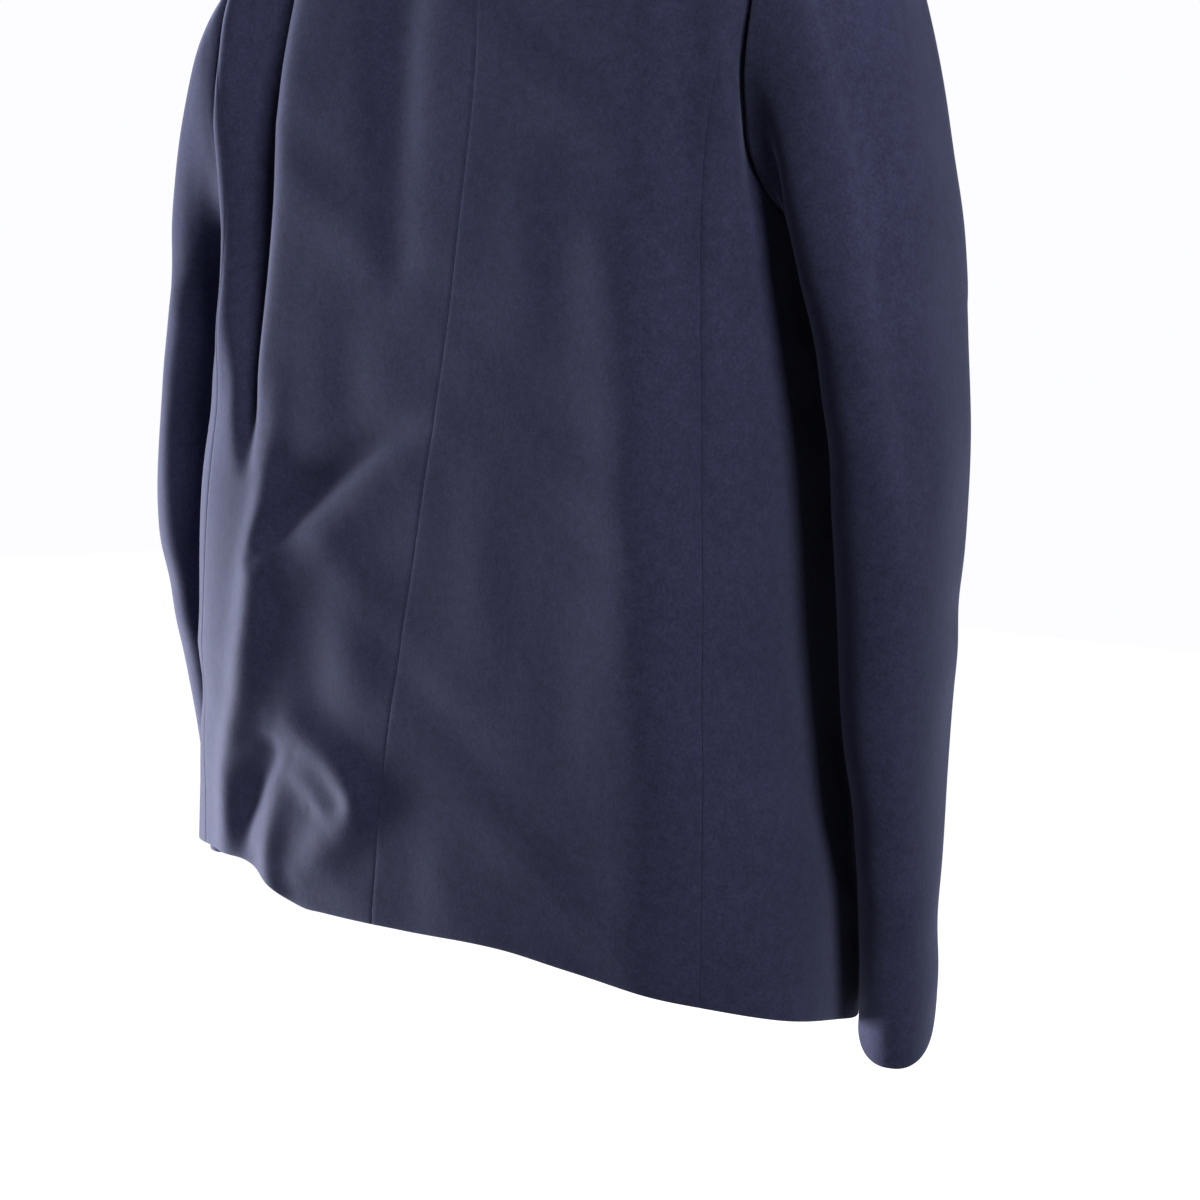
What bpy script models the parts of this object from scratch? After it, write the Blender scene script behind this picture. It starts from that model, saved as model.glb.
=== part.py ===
"""Hip-length coat of felted wool, filled out as if worn, with nothing inside it.

The body is a right and a left back, two side panels and two fronts that lap at the
middle.  All six are cut from one body surface, whose level sections stand in TORSO and
whose large folds stand in FOLDS.  Two sleeves hang from the armholes, a turned-down
collar stands on the neck edge, and four buttons lie on the upper front.

Metres, +Z up.  The front faces -Y, so the wearer's left is +X.  The tables give heights
above the level of the hem; the frame's origin is the middle of the neck opening,
NECK_HEIGHT above that level, where the wearer's neck and shoulders hold the coat.
"""
import bpy
import bmesh
import numpy as np

MM = 0.001

# ---- driving dimensions ----
NECK_HEIGHT = 0.640         # the neck opening above the level of the hem
CLOTH = 2.2 * MM            # thickness of the felted wool
SEAM_TRIM = 0.2 * MM        # taken off each edge, so that two pieces lie 0.3 mm apart or more
SQUARENESS = 3.3            # exponent of the body's level sections: 2 is an oval

SHOULDER_START = 0.430      # height where the body begins to round over to the shoulders
SHOULDER_ROUND = 2.6        # exponent of that rounding
SHOULDER_Y = 0.010          # the shoulder seam lies this far behind the middle
SHOULDER_TIP_X = 0.180
SHOULDER_TIP_HEIGHT = 0.600
NECK_SIDE_X = 0.071
NECK_SIDE_HEIGHT = 0.645
NECK_RISE = 0.75            # slope of the surface that the neck edge is cut from
NECK_DROP_BACK = 0.019
NECK_DROP_FRONT = 0.072

LAP = 0.022                 # each front runs this far past the middle
LAP_MARGIN = 0.016          # the upper front lies raised this far past the lower one's edge
LAP_EASE = 0.034            # width over which it comes back down to the body
LAP_LIFT = CLOTH + 0.4 * MM

STAND_BACK = 0.030          # height of the collar's stand, behind and in front
STAND_FRONT = 0.019
ROLL_RADIUS = 3.6 * MM      # the collar's fold, to the middle of the cloth
FALL_BACK = 0.040           # width of the collar's fall, from the neck edge
FALL_FRONT = 0.052
FALL_SIDE = 0.036           # the fall reaches this far out past the neck's side
POINT_SPREAD = 0.022        # each collar point stands this far from the middle
COLLAR_END = 0.012          # the collar starts and ends at this angle off the middle (radians)
COLLAR_GAP = 0.5 * MM       # between the neck edge and the stand
STAND_LEAN = 0.14           # how far the stand leans in to the neck, for its height
STAND_CURVE = 0.35          # how softly it turns up from the body
FALL_BULGE = 0.12           # how far the fall bulges out, for its width
FALL_CLEARANCE = 3.0 * MM   # middle of the fall's cloth above the body

BUTTON_RADIUS = 0.011
BUTTON_THICKNESS = 3.4 * MM
BUTTON_SEAT = 0.3 * MM
BUTTON_HEIGHTS = (0.500, 0.395, 0.290, 0.185)

NAVY_WOOL = (0.030, 0.031, 0.062, 1.0)
DARK_HORN = (0.012, 0.012, 0.020, 1.0)

# Level sections of the body: height, half width, depth behind and in front of the middle.
TORSO = (
    (-0.060, 0.214, 0.106, 0.104),
    (0.000, 0.212, 0.106, 0.104),
    (0.050, 0.208, 0.106, 0.103),
    (0.150, 0.192, 0.106, 0.101),
    (0.250, 0.186, 0.106, 0.100),
    (0.330, 0.179, 0.106, 0.100),
    (0.400, 0.176, 0.106, 0.100),
    (0.430, 0.183, 0.105, 0.100),
    (0.470, 0.196, 0.104, 0.099),
    (0.520, 0.208, 0.102, 0.096),
    (0.600, 0.222, 0.098, 0.086),
    (0.700, 0.230, 0.092, 0.076),
)

# The cut edges and seams, as the turn around the body (degrees: 0 is the middle of the
# back, positive to the wearer's left, 180 the middle of the front) at a height.
HEM = (  # turn, height
    (-180, -0.030), (-140, -0.036), (-103, -0.034), (-92, -0.023), (-79, -0.010),
    (-66, 0.0005), (-50, 0.0085), (-36, 0.0130), (0, 0.0110), (28, 0.009), (35, 0.0088),
    (40, 0.0120), (44, 0.0170), (48, 0.0220), (52, 0.0250), (58, 0.0255), (75, 0.018),
    (100, -0.004), (140, -0.024), (180, -0.030),
)
CENTRE_BACK = (  # height, distance to the wearer's left
    (-0.05, 0.020), (0.010, 0.020), (0.100, 0.0155), (0.200, 0.003), (0.300, -0.010),
    (0.400, -0.0205), (0.490, -0.023), (0.560, -0.012), (0.610, -0.003), (0.640, 0.0),
)
SIDE_BACK = (  # height, distance out from the middle
    (-0.050, 0.1716), (0.005, 0.1712), (0.059, 0.1695), (0.109, 0.1676), (0.159, 0.1648),
    (0.208, 0.1621), (0.257, 0.1590), (0.305, 0.1558), (0.352, 0.1525), (0.400, 0.1502),
    (0.446, 0.1530), (0.485, 0.1605), (0.508, 0.1662),
)
SIDE_FRONT = (  # height, distance out from the middle
    (-0.050, 0.1830), (0.100, 0.1740), (0.250, 0.1640), (0.425, 0.1630),
)
ARMHOLE_BACK = ((0.508, 0.1662), (0.530, 0.1665), (0.565, 0.1715), (0.600, 0.1800))
ARMHOLE_FRONT = (
    (0.425, 0.1630), (0.460, 0.1570), (0.500, 0.1540), (0.550, 0.1610), (0.600, 0.1800),
)
# Across the side panel from its back seam (0) to its front seam (1): the height of the
# armhole there.  The same shares place the panel's columns.
ARMHOLE_UNDER = (  # share, height
    (0.00, 0.508), (0.06, 0.474), (0.13, 0.434), (0.20, 0.410), (0.34, 0.396),
    (0.55, 0.392), (0.75, 0.396), (0.90, 0.408), (1.00, 0.425),
)

# Large folds: a soft ridge (height > 0) or trough (height < 0) along a smooth path on the
# body, through points given as (turn, height above the hem, width, height of the ridge).
FOLDS = (  # name, then the points
    ("left armhole drape", (53.0, 0.610, 0.015, -0.004), (52.6, 0.530, 0.016, -0.024),
     (52.0, 0.440, 0.015, -0.025), (51.8, 0.370, 0.012, -0.020), (51.0, 0.310, 0.008, -0.011),
     (49.5, 0.250, 0.007, 0.0)),
    ("left armhole ridge", (60.0, 0.600, 0.010, 0.002), (59.5, 0.520, 0.010, 0.005),
     (59.0, 0.440, 0.010, 0.006), (58.5, 0.350, 0.010, 0.004), (58.5, 0.290, 0.010, 0.0)),
    ("left side swell", (66.0, 0.360, 0.020, 0.0), (66.0, 0.300, 0.022, 0.004),
     (66.0, 0.210, 0.022, 0.005), (66.0, 0.130, 0.022, 0.0)),
    ("left back ridge", (43.5, 0.320, 0.010, 0.0), (44.0, 0.275, 0.010, 0.002),
     (45.0, 0.236, 0.012, 0.005), (46.0, 0.200, 0.014, 0.007), (47.0, 0.155, 0.015, 0.007),
     (50.0, 0.115, 0.014, 0.006), (54.8, 0.075, 0.013, 0.005), (57.5, 0.020, 0.014, 0.003)),
    ("drag line", (0.0, 0.284, 0.009, -0.001), (15.0, 0.276, 0.009, -0.004),
     (29.0, 0.258, 0.010, -0.007), (37.5, 0.240, 0.010, -0.008), (43.0, 0.223, 0.009, -0.007),
     (46.0, 0.208, 0.007, -0.003)),
    ("drag line lower edge", (8.0, 0.258, 0.014, 0.001), (25.0, 0.233, 0.014, 0.003),
     (38.0, 0.205, 0.014, 0.002)),
    ("hem dent", (42.5, 0.106, 0.008, 0.0), (44.0, 0.093, 0.008, -0.004),
     (47.5, 0.078, 0.009, -0.006), (50.3, 0.062, 0.009, -0.006), (52.0, 0.046, 0.008, -0.004),
     (52.8, 0.028, 0.008, 0.0)),
    ("hem bulge", (42.0, 0.114, 0.012, 0.001), (34.0, 0.107, 0.013, 0.0045),
     (24.5, 0.095, 0.013, 0.0065), (17.5, 0.078, 0.013, 0.0075), (20.5, 0.062, 0.013, 0.006),
     (27.0, 0.048, 0.013, 0.004), (35.0, 0.032, 0.012, 0.002)),
    ("hem bulge middle", (38.0, 0.092, 0.011, 0.001), (33.5, 0.084, 0.012, 0.0035),
     (28.5, 0.072, 0.012, 0.0035), (29.5, 0.060, 0.011, 0.001)),
    ("hem fold", (38.5, 0.083, 0.010, 0.001), (42.3, 0.065, 0.010, 0.002),
     (43.8, 0.048, 0.010, 0.003), (44.2, 0.030, 0.011, 0.004), (43.5, 0.008, 0.011, 0.004)),
    ("lower back swell", (26.0, 0.215, 0.022, 0.001), (22.5, 0.170, 0.026, 0.004),
     (20.0, 0.125, 0.020, 0.001)),
    ("right back ridge", (-48.0, 0.370, 0.022, 0.004), (-54.0, 0.197, 0.024, 0.006),
     (-58.0, 0.010, 0.026, 0.004)),
    ("right blade trough", (-54.0, 0.540, 0.014, -0.004), (-59.0, 0.300, 0.010, -0.003)),
    ("right armhole drape", (-62.5, 0.570, 0.014, 0.0), (-63.4, 0.530, 0.012, -0.005),
     (-64.2, 0.495, 0.012, -0.013), (-65.2, 0.460, 0.011, -0.019), (-66.8, 0.438, 0.010, -0.017),
     (-68.0, 0.415, 0.009, -0.008), (-69.5, 0.390, 0.009, 0.0)),
    ("blade trough", (17.0, 0.560, 0.018, -0.001), (16.0, 0.507, 0.018, -0.004),
     (11.0, 0.370, 0.014, -0.002)),
    ("right front swell", (-113.0, 0.230, 0.030, 0.0), (-113.0, 0.140, 0.032, 0.003),
     (-113.0, 0.050, 0.032, 0.005), (-113.0, -0.040, 0.032, 0.005)),
    ("left front drape", (129.0, 0.510, 0.015, -0.006), (132.0, 0.340, 0.012, -0.003)),
    ("right front drape", (-128.0, 0.505, 0.015, -0.006), (-131.0, 0.320, 0.012, -0.003)),
    ("left front ridge", (150.0, 0.300, 0.020, 0.004), (146.0, 0.000, 0.026, 0.006)),
    ("right front ridge", (-147.0, 0.330, 0.020, 0.004), (-142.0, 0.000, 0.026, 0.006)),
)
FOLD_STEPS = 25             # points along the smooth path of a fold
# The body's back corners stand out in a soft ridge from top to bottom.
CORNERS = ((58.0, 16.0, 0.013), (-58.0, 16.0, 0.008))           # turn, spread, height
CORNER_FADE = (  # height, share
    (-0.05, -0.6), (0.02, -0.5), (0.06, -0.15), (0.10, 0.45), (0.15, 1.0), (0.45, 1.0),
    (0.53, 0.4), (0.60, 0.1),
)

# Sleeves, below the armhole: height, distance out from the middle, distance back, half
# thickness, half width, turn of the width (degrees).
SLEEVE = {
    "left": (
        (-0.022, 0.2368, -0.066, 0.0190, 0.0580, 15.0),
        (0.050, 0.2356, -0.058, 0.0205, 0.0610, 14.0),
        (0.131, 0.2285, -0.037, 0.0245, 0.0670, 13.0),
        (0.206, 0.2245, -0.016, 0.0258, 0.0700, 15.0),
        (0.300, 0.2195, -0.011, 0.0282, 0.0740, 12.0),
        (0.365, 0.2200, -0.011, 0.0325, 0.0740, 5.0),
    ),
    "right": (
        (-0.022, 0.2348, -0.040, 0.0205, 0.0560, 16.0),
        (0.050, 0.2322, -0.036, 0.0215, 0.0590, 15.0),
        (0.131, 0.2291, -0.025, 0.0250, 0.0650, 10.0),
        (0.206, 0.2277, -0.015, 0.0285, 0.0690, 9.0),
        (0.300, 0.2245, -0.004, 0.0315, 0.0730, 5.0),
        (0.365, 0.2145, 0.000, 0.0320, 0.0730, 0.0),
    ),
}
SLEEVE_SQUARENESS = 2.4     # exponent of the sleeve's level sections
CUFF_HEIGHT = {"left": -0.008, "right": -0.027}
CUFF_SLANT = 0.13           # the back of the cuff hangs lower than its front
CAP_REACH_TOP = {"left": 0.105, "right": 0.060}     # how strongly the cap leaves the shoulder
CAP_REACH_UNDER = 0.024     # and the armhole under the arm
CAP_PUFF = {"left": 0.030, "right": 0.060}      # out over its armhole, behind and before
CAP_DROP = 0.35             # slope at which it leaves the top, down
CAP_RISE = 0.60             # and under the arm, up
CAP_LAND = 0.75             # how strongly the cap arrives at the upper sleeve
CAP_SHARE = 0.36            # share of the sleeve's length above the last row of SLEEVE
# Below the shoulder blade the right sleeve rolls over its seam: turn around the sleeve,
# spread, height of the roll, share of the length in which it rises, share where it ends
# and share in which it fades.
CAP_ROLL = (110.0, 24.0, 0.011, 0.022, 0.45, 0.25)
SLEEVE_GAP = 0.5 * MM
# Folds of the sleeves: turn around the sleeve (0 outer, 90 back, 180 under, 270 front) and
# height at the top, then at the bottom, spread in degrees, height of the ridge.
SLEEVE_FOLDS = (
    ("back trough", 50.0, 0.600, 56.0, 0.250, 22.0, -0.006),
    ("front trough", 285.0, 0.345, 285.0, 0.150, 20.0, -0.005),
)

# Grids: columns across and rows up of each piece.
NECK_COLUMNS = 6                            # from the middle to the side of the neck
SHOULDER_COLUMNS = {"left": 8, "right": 6}  # from there to the shoulder tip, behind
FRONT_SHOULDER_COLUMNS = 5
LAP_COLUMNS = 2
LOWER_ROWS = {"left": 29, "right": 18}      # up to the side panel's corner
UPPER_ROWS = 7                              # from there to the shoulder and the neck
UPPER_EASE = 1.8                            # crowds those rows towards the shoulder
CAP_ROWS = 7
ARM_ROWS = 11


def read(table, column, at):
    """Value of a table's column at a place in its first column, joined by a smooth curve."""
    rows = np.asarray(sorted([row[0], row[column]] for row in table), float)
    place, value = rows[:, 0], rows[:, 1]
    slope = np.gradient(value, place)
    at = np.clip(np.asarray(at, float), place[0], place[-1])
    low = np.clip(np.searchsorted(place, at, side="right") - 1, 0, len(place) - 2)
    width = place[low + 1] - place[low]
    t = (at - place[low]) / width
    return ((2 * t**3 - 3 * t**2 + 1) * value[low] + (t**3 - 2 * t**2 + t) * width * slope[low]
            + (3 * t**2 - 2 * t**3) * value[low + 1] + (t**3 - t**2) * width * slope[low + 1])


def smooth_step(t):
    t = np.clip(t, 0.0, 1.0)
    return t * t * (3 - 2 * t)


def unit(vectors):
    return vectors / np.linalg.norm(vectors, axis=-1, keepdims=True)


def shoulder_line(x):
    """Height of the line on which the back and the front meet, on over the neck."""
    x = np.abs(x)
    slope = (NECK_SIDE_HEIGHT - SHOULDER_TIP_HEIGHT) / (SHOULDER_TIP_X - NECK_SIDE_X)
    outer = NECK_SIDE_HEIGHT - slope * (x - NECK_SIDE_X)
    return np.where(x > NECK_SIDE_X, outer, NECK_SIDE_HEIGHT + NECK_RISE * (NECK_SIDE_X - x))


def neck_edge(x, side):
    """Height of the cut neck edge; side is 1 behind and -1 in front."""
    share = np.clip(np.abs(x) / NECK_SIDE_X, 0, 1)
    return NECK_SIDE_HEIGHT - (NECK_DROP_BACK if side > 0 else NECK_DROP_FRONT) * (1 - share**2)


def plain_body(turn, height):
    """The body surface without its folds; turn in radians."""
    wide, back, front = (read(TORSO, column, height) for column in (1, 2, 3))
    sine, cosine = np.sin(turn), np.cos(turn)
    deep = np.where(cosine > 0, back, front)
    reach = ((np.abs(sine) / wide) ** SQUARENESS + (np.abs(cosine) / deep) ** SQUARENESS)
    reach = reach ** (-1 / SQUARENESS)
    for at, spread, out in CORNERS:
        near = np.exp(-((np.degrees(turn) - at) / spread) ** 2)
        reach = reach + out * near * np.interp(height, *np.transpose(CORNER_FADE))
    x, y = reach * sine, reach * cosine
    # Past the shoulder line the surface goes on down the other side.
    top = shoulder_line(x)
    over = height > top
    height = np.where(over, 2 * top - height, height)
    climb = np.clip((height - SHOULDER_START) / (top - SHOULDER_START), 0, 1)
    close = (1 - climb**SHOULDER_ROUND) ** (1 / SHOULDER_ROUND) * np.where(over, -1, 1)
    return np.stack([x, SHOULDER_Y + (y - SHOULDER_Y) * close, height], -1)


def smooth_path(points):
    """A fold's path on the plain body, with the width and the height at each of its points."""
    rows = [(place, *point) for place, point in enumerate(points)]
    at = np.linspace(0, len(rows) - 1, FOLD_STEPS)
    turn, height, width, rise = (read(rows, column, at) for column in (1, 2, 3, 4))
    return plain_body(np.radians(turn), height), width, rise


FOLD_PATHS = [smooth_path(points) for _, *points in FOLDS]


def fold_height(here):
    """How far the folds lift the cloth at these points of the plain body."""
    lift = np.zeros(here.shape[:-1])
    for path, widths, rises in FOLD_PATHS:
        best = np.full(lift.shape, np.inf)
        width, rise = np.ones(lift.shape), np.zeros(lift.shape)
        for i, (start, end) in enumerate(zip(path[:-1], path[1:])):
            along = end - start
            share = np.clip(((here - start) @ along) / (along @ along), 0, 1)
            away = np.linalg.norm(here - (start + share[..., None] * along), axis=-1)
            closer = away < best
            best = np.where(closer, away, best)
            width = np.where(closer, widths[i] + (widths[i + 1] - widths[i]) * share, width)
            rise = np.where(closer, rises[i] + (rises[i + 1] - rises[i]) * share, rise)
        lift = lift + rise * np.exp(-(best / width) ** 2)
    return lift


def body(turn, height, out=0.0):
    """A point of the body's outer face, or one moved out from it."""
    turn, height = np.broadcast_arrays(np.asarray(turn, float), np.asarray(height, float))
    step_turn, step_height = 0.01, 1.0 * MM

    def normal_of(surface):
        around = surface(turn + step_turn, height) - surface(turn - step_turn, height)
        up = surface(turn, height + step_height) - surface(turn, height - step_height)
        return unit(np.cross(up, around))

    plain_normal = normal_of(plain_body)

    def folded(at_turn, at_height):
        plain = plain_body(at_turn, at_height)
        return plain + fold_height(plain)[..., None] * plain_normal

    return folded(turn, height) + np.asarray(out)[..., None] * normal_of(folded)


def turn_at(x, height, side):
    """Turn at which the body lies x from the middle, behind (side 1) or in front (-1)."""
    x, height = np.broadcast_arrays(np.asarray(x, float), np.asarray(height, float))
    low, high = np.full(x.shape, -np.pi / 2), np.full(x.shape, np.pi / 2)
    for _ in range(36):
        middle = (low + high) / 2
        turn = middle if side > 0 else np.pi - middle
        beyond = plain_body(turn, height)[..., 0] > x
        low, high = np.where(beyond, low, middle), np.where(beyond, middle, high)
    return middle if side > 0 else np.pi - middle


def hem_height(turn):
    return read(HEM, 1, (np.degrees(turn) + 180) % 360 - 180)


def row_shares(join_share, lower, upper):
    """Rows from the hem (0) to the top (1), even below the side panel's corner."""
    climb = np.linspace(0, 1, upper + 1)[1:]
    above = join_share + (1 - join_share) * (1 - (1 - climb) ** UPPER_EASE)
    return np.concatenate([np.linspace(0, join_share, lower + 1), above])


def top_places(side, shoulder_columns):
    """Distances out from the middle along a back's or a front's top edge."""
    lap = np.linspace(-LAP, 0, LAP_COLUMNS + 1)[:-1] if side < 0 else []
    neck = NECK_SIDE_X * np.sin(np.linspace(0, np.pi / 2, NECK_COLUMNS + 1))
    shoulder = np.linspace(NECK_SIDE_X, SHOULDER_TIP_X, shoulder_columns + 1)[1:]
    return np.concatenate([lap, neck, shoulder])


def large_panel_grid(left, side, lower, upper):
    """Turns and heights of a back (side 1) or a front (side -1): rows up, columns out."""
    sign = 1 if left else -1
    seam, hole = (SIDE_BACK, ARMHOLE_BACK) if side > 0 else (SIDE_FRONT, ARMHOLE_FRONT)
    corner = seam[-1][0]
    word = "left" if left else "right"
    top_x = sign * top_places(side, SHOULDER_COLUMNS[word] if side > 0 else FRONT_SHOULDER_COLUMNS)
    share = np.linspace(0, 1, len(top_x))

    def inner_x(height):
        return read(CENTRE_BACK, 1, height) if side > 0 else np.full(np.shape(height), -sign * LAP)

    def outer_x(height):
        return sign * np.where(height < corner, read(seam, 1, height), read(hole, 1, height))

    def across(height):
        return inner_x(height) + share * (outer_x(height) - inner_x(height))

    bottom = hem_height(turn_at(across(np.zeros(len(top_x))), 0.0, side))
    top = np.where(np.abs(top_x) < NECK_SIDE_X, neck_edge(top_x, side), shoulder_line(top_x))
    rows = row_shares((corner - bottom[-1]) / (top[-1] - bottom[-1]), lower, upper)
    heights = bottom + rows[:, None] * (top - bottom)
    x = np.stack([across(row) for row in heights])
    # Towards the top the columns draw over to the places set out along the neck and shoulder.
    draw = smooth_step((rows[:, None] - rows[lower]) / (1 - rows[lower]))
    x = x + draw * (top_x - x)
    x[:, -1] = outer_x(heights[:, -1])
    return turn_at(x, heights, side), heights


def side_panel_grid(left, lower):
    """Turns and heights of a side panel: rows up, columns from back to front."""
    sign = 1 if left else -1
    share = np.array([row[0] for row in ARMHOLE_UNDER])
    top = np.array([row[1] for row in ARMHOLE_UNDER])

    def across(height):
        back = turn_at(sign * read(SIDE_BACK, 1, height), height, 1)
        front = turn_at(sign * read(SIDE_FRONT, 1, height), height, -1)
        front = front if left else front - 2 * np.pi
        return back + share * (front - back)

    bottom = hem_height(across(np.zeros(len(share))))
    heights = bottom + np.linspace(0, 1, lower + 1)[:, None] * (top - bottom)
    return np.stack([across(row) for row in heights]), heights


def trimmed(grid):
    """The grid with its four edges drawn in, to leave the gap of a seam."""
    grid = grid.copy()
    for edge, inner in ((0, 1), (-1, -2)):
        grid[edge] += SEAM_TRIM * unit(grid[inner] - grid[edge])
    for edge, inner in ((0, 1), (-1, -2)):
        grid[:, edge] += SEAM_TRIM * unit(grid[:, inner] - grid[:, edge])
    return grid


def lap_lift(turn, height, left):
    """The wearer's right front rises over the left one at the middle."""
    if left:
        return np.zeros(turn.shape)
    x = plain_body(turn, height)[..., 0]
    return LAP_LIFT * smooth_step((x + LAP + LAP_MARGIN + LAP_EASE) / LAP_EASE)


def wall_object(name, outer, inner, colour, ring=False):
    """A closed cloth wall between two grids of points; a ring's columns join up."""
    rows, columns = outer.shape[:2]
    mesh = bpy.data.meshes.new(name)
    shape = bmesh.new()
    layers = [[[shape.verts.new(point) for point in row] for row in grid - [0, 0, NECK_HEIGHT]]
              for grid in (outer, inner)]

    def quads(first, second):
        for a, b, c, d in zip(first[:-1], first[1:], second[1:], second[:-1]):
            shape.faces.new((a, b, c, d))

    for layer in layers:
        for low, high in zip(layer[:-1], layer[1:]):
            quads(low + low[:1], high + high[:1]) if ring else quads(low, high)
    outside, inside = layers
    for row in (0, -1):
        close = slice(0, 1) if ring else slice(0, 0)
        quads(outside[row] + outside[row][close], inside[row] + inside[row][close])
    if not ring:
        for column in (0, -1):
            quads([row[column] for row in outside], [row[column] for row in inside])
    bmesh.ops.recalc_face_normals(shape, faces=shape.faces)
    shape.to_mesh(mesh)
    shape.free()
    return finished_object(name, mesh, colour)


def finished_object(name, mesh, colour):
    mesh.shade_smooth()
    mesh.set_sharp_from_angle(angle=np.radians(50))
    thing = bpy.data.objects.new(name, mesh)
    bpy.context.scene.collection.objects.link(thing)
    material = bpy.data.materials.new(name)
    material.use_nodes = True
    surface = material.node_tree.nodes["Principled BSDF"]
    surface.inputs["Base Color"].default_value = colour
    surface.inputs["Roughness"].default_value = 0.9 if colour is NAVY_WOOL else 0.4
    surface.inputs["Metallic"].default_value = 0.0
    mesh.materials.append(material)
    return thing


def make_panels():
    for word in ("left", "right"):
        left = word == "left"
        lower = LOWER_ROWS[word]
        backs = large_panel_grid(left, 1, lower, UPPER_ROWS)
        fronts = large_panel_grid(left, -1, lower, UPPER_ROWS)
        sides = side_panel_grid(left, lower)
        for name, (turn, height) in (("back", backs), ("side", sides), ("front", fronts)):
            lift = lap_lift(turn, height, left) if name == "front" else np.zeros(turn.shape)
            outer = trimmed(body(turn, height, lift))
            inner = trimmed(body(turn, height, lift - CLOTH))
            wall_object(f"{name}_{word}", outer, inner, NAVY_WOOL)


def armhole_ring(left, lower, upper):
    """Turns and heights of the armhole's points, from the shoulder down the back and up."""
    back = large_panel_grid(left, 1, lower, upper)
    front = large_panel_grid(left, -1, lower, upper)
    under = side_panel_grid(left, lower)
    down, across, up = slice(None, lower, -1), slice(None), slice(lower, -1)
    return [np.concatenate([back[i][down, -1], under[i][-1, across], front[i][up, -1][1:]])
            for i in (0, 1)]


def arm_ring(word, around, height):
    """Level ring of the sleeve at one height: around is 0 outside, 90 degrees behind."""
    sign = 1 if word == "left" else -1
    out, back, thick, wide, turn = (read(SLEEVE[word], column, height) for column in range(1, 6))
    turn = np.radians(turn)
    across, along = (half * np.sign(part) * np.abs(part) ** (2 / SLEEVE_SQUARENESS)
                     for half, part in ((thick, np.cos(around)), (wide, np.sin(around))))
    x = out + across * np.cos(turn) + along * np.sin(turn)
    y = back - across * np.sin(turn) + along * np.cos(turn)
    slant = CUFF_SLANT * smooth_step((0.10 - height) / 0.12) * (y - back)
    return np.stack([sign * x, y, height - slant], -1)


def sleeve_grids(word, lower, upper, cap_rows, arm_rows):
    """Outer and inner points of a sleeve, from the armhole down to the cuff."""
    sign = 1 if word == "left" else -1
    turn, height = armhole_ring(word == "left", lower, upper)
    edge = body(turn, height)
    count = len(edge)
    tangent = unit(np.roll(edge, -1, 0) - np.roll(edge, 1, 0))
    normal = unit(body(turn, height, 1 * MM) - edge)
    into_hole = unit(np.cross(normal, tangent))
    into_hole *= np.sign(np.sum(into_hole * (edge.mean(0) - edge), 1, keepdims=True))

    # Spread the points around the arm by their distance along the armhole, half behind.
    steps = np.linalg.norm(np.roll(edge, -1, 0) - edge, axis=1)
    along = np.concatenate([[0], np.cumsum(steps)])
    under = int(np.argmin(height))
    around = np.interp(along[:-1], [0, along[under], along[-1]], [0, np.pi, 2 * np.pi])

    top_row = SLEEVE[word][-1][0]
    land = arm_ring(word, around, top_row)
    topness = ((1 + np.cos(around)) / 2)[:, None]
    start = edge + SLEEVE_GAP * (into_hole + (1 - topness) * normal)
    leave_reach = CAP_REACH_UNDER + (CAP_REACH_TOP[word] - CAP_REACH_UNDER) * topness
    leave = leave_reach * unit(np.stack(
        [np.full(count, float(sign)), np.zeros(count),
         CAP_RISE - (CAP_RISE + CAP_DROP) * topness[:, 0]], -1))
    leave = leave + CAP_PUFF[word] * np.sin(around)[:, None] ** 2 * normal
    fall = np.linalg.norm(land - start, axis=1, keepdims=True)
    arrive = np.array([0.0, 0.0, -CAP_LAND]) * fall
    rings = []
    cap_steps, arm_steps = np.linspace(0, 1, cap_rows + 1), np.linspace(0, 1, arm_rows + 1)[1:]
    for t in cap_steps:
        rings.append((2 * t**3 - 3 * t**2 + 1) * start + (t**3 - 2 * t**2 + t) * leave
                     + (3 * t**2 - 2 * t**3) * land + (t**3 - t**2) * arrive)
    for t in arm_steps:
        rings.append(arm_ring(word, around, top_row + (CUFF_HEIGHT[word] - top_row) * t))
    outer = np.stack(rings)

    def normals(grid):
        circling = np.roll(grid, -1, 1) - np.roll(grid, 1, 1)
        down = np.gradient(grid, axis=0)
        return unit(np.cross(circling, down)) * sign

    degrees, level = np.degrees(around), outer[..., 2]
    shift = np.zeros(level.shape)
    for _, top_turn, top, end_turn, end, spread, rise in SLEEVE_FOLDS:
        share = np.clip((top - level) / (top - end), 0, 1)
        away = (degrees - (top_turn + (end_turn - top_turn) * share) + 180) % 360 - 180
        fade = smooth_step((level - end) / 0.08 + 0.3) * smooth_step((top - level) / 0.06 + 0.2)
        shift = shift + rise * np.exp(-(away / spread) ** 2) * fade
    shift[0] = 0
    if word == "right":
        at, spread, rise, rising, end, fading = CAP_ROLL
        share = np.concatenate([CAP_SHARE * cap_steps, CAP_SHARE + (1 - CAP_SHARE) * arm_steps])
        roll = smooth_step(share / rising) * smooth_step((end - share) / fading)
        shift = shift + rise * roll[:, None] * np.exp(-((degrees - at) / spread) ** 2)
    outer = outer + shift[..., None] * normals(outer)
    return outer, outer - CLOTH * normals(outer)


def make_sleeves():
    for word in ("left", "right"):
        outer, inner = sleeve_grids(word, LOWER_ROWS[word], UPPER_ROWS, CAP_ROWS, ARM_ROWS)
        wall_object(f"sleeve_{word}", outer, inner, NAVY_WOOL, ring=True)


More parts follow.
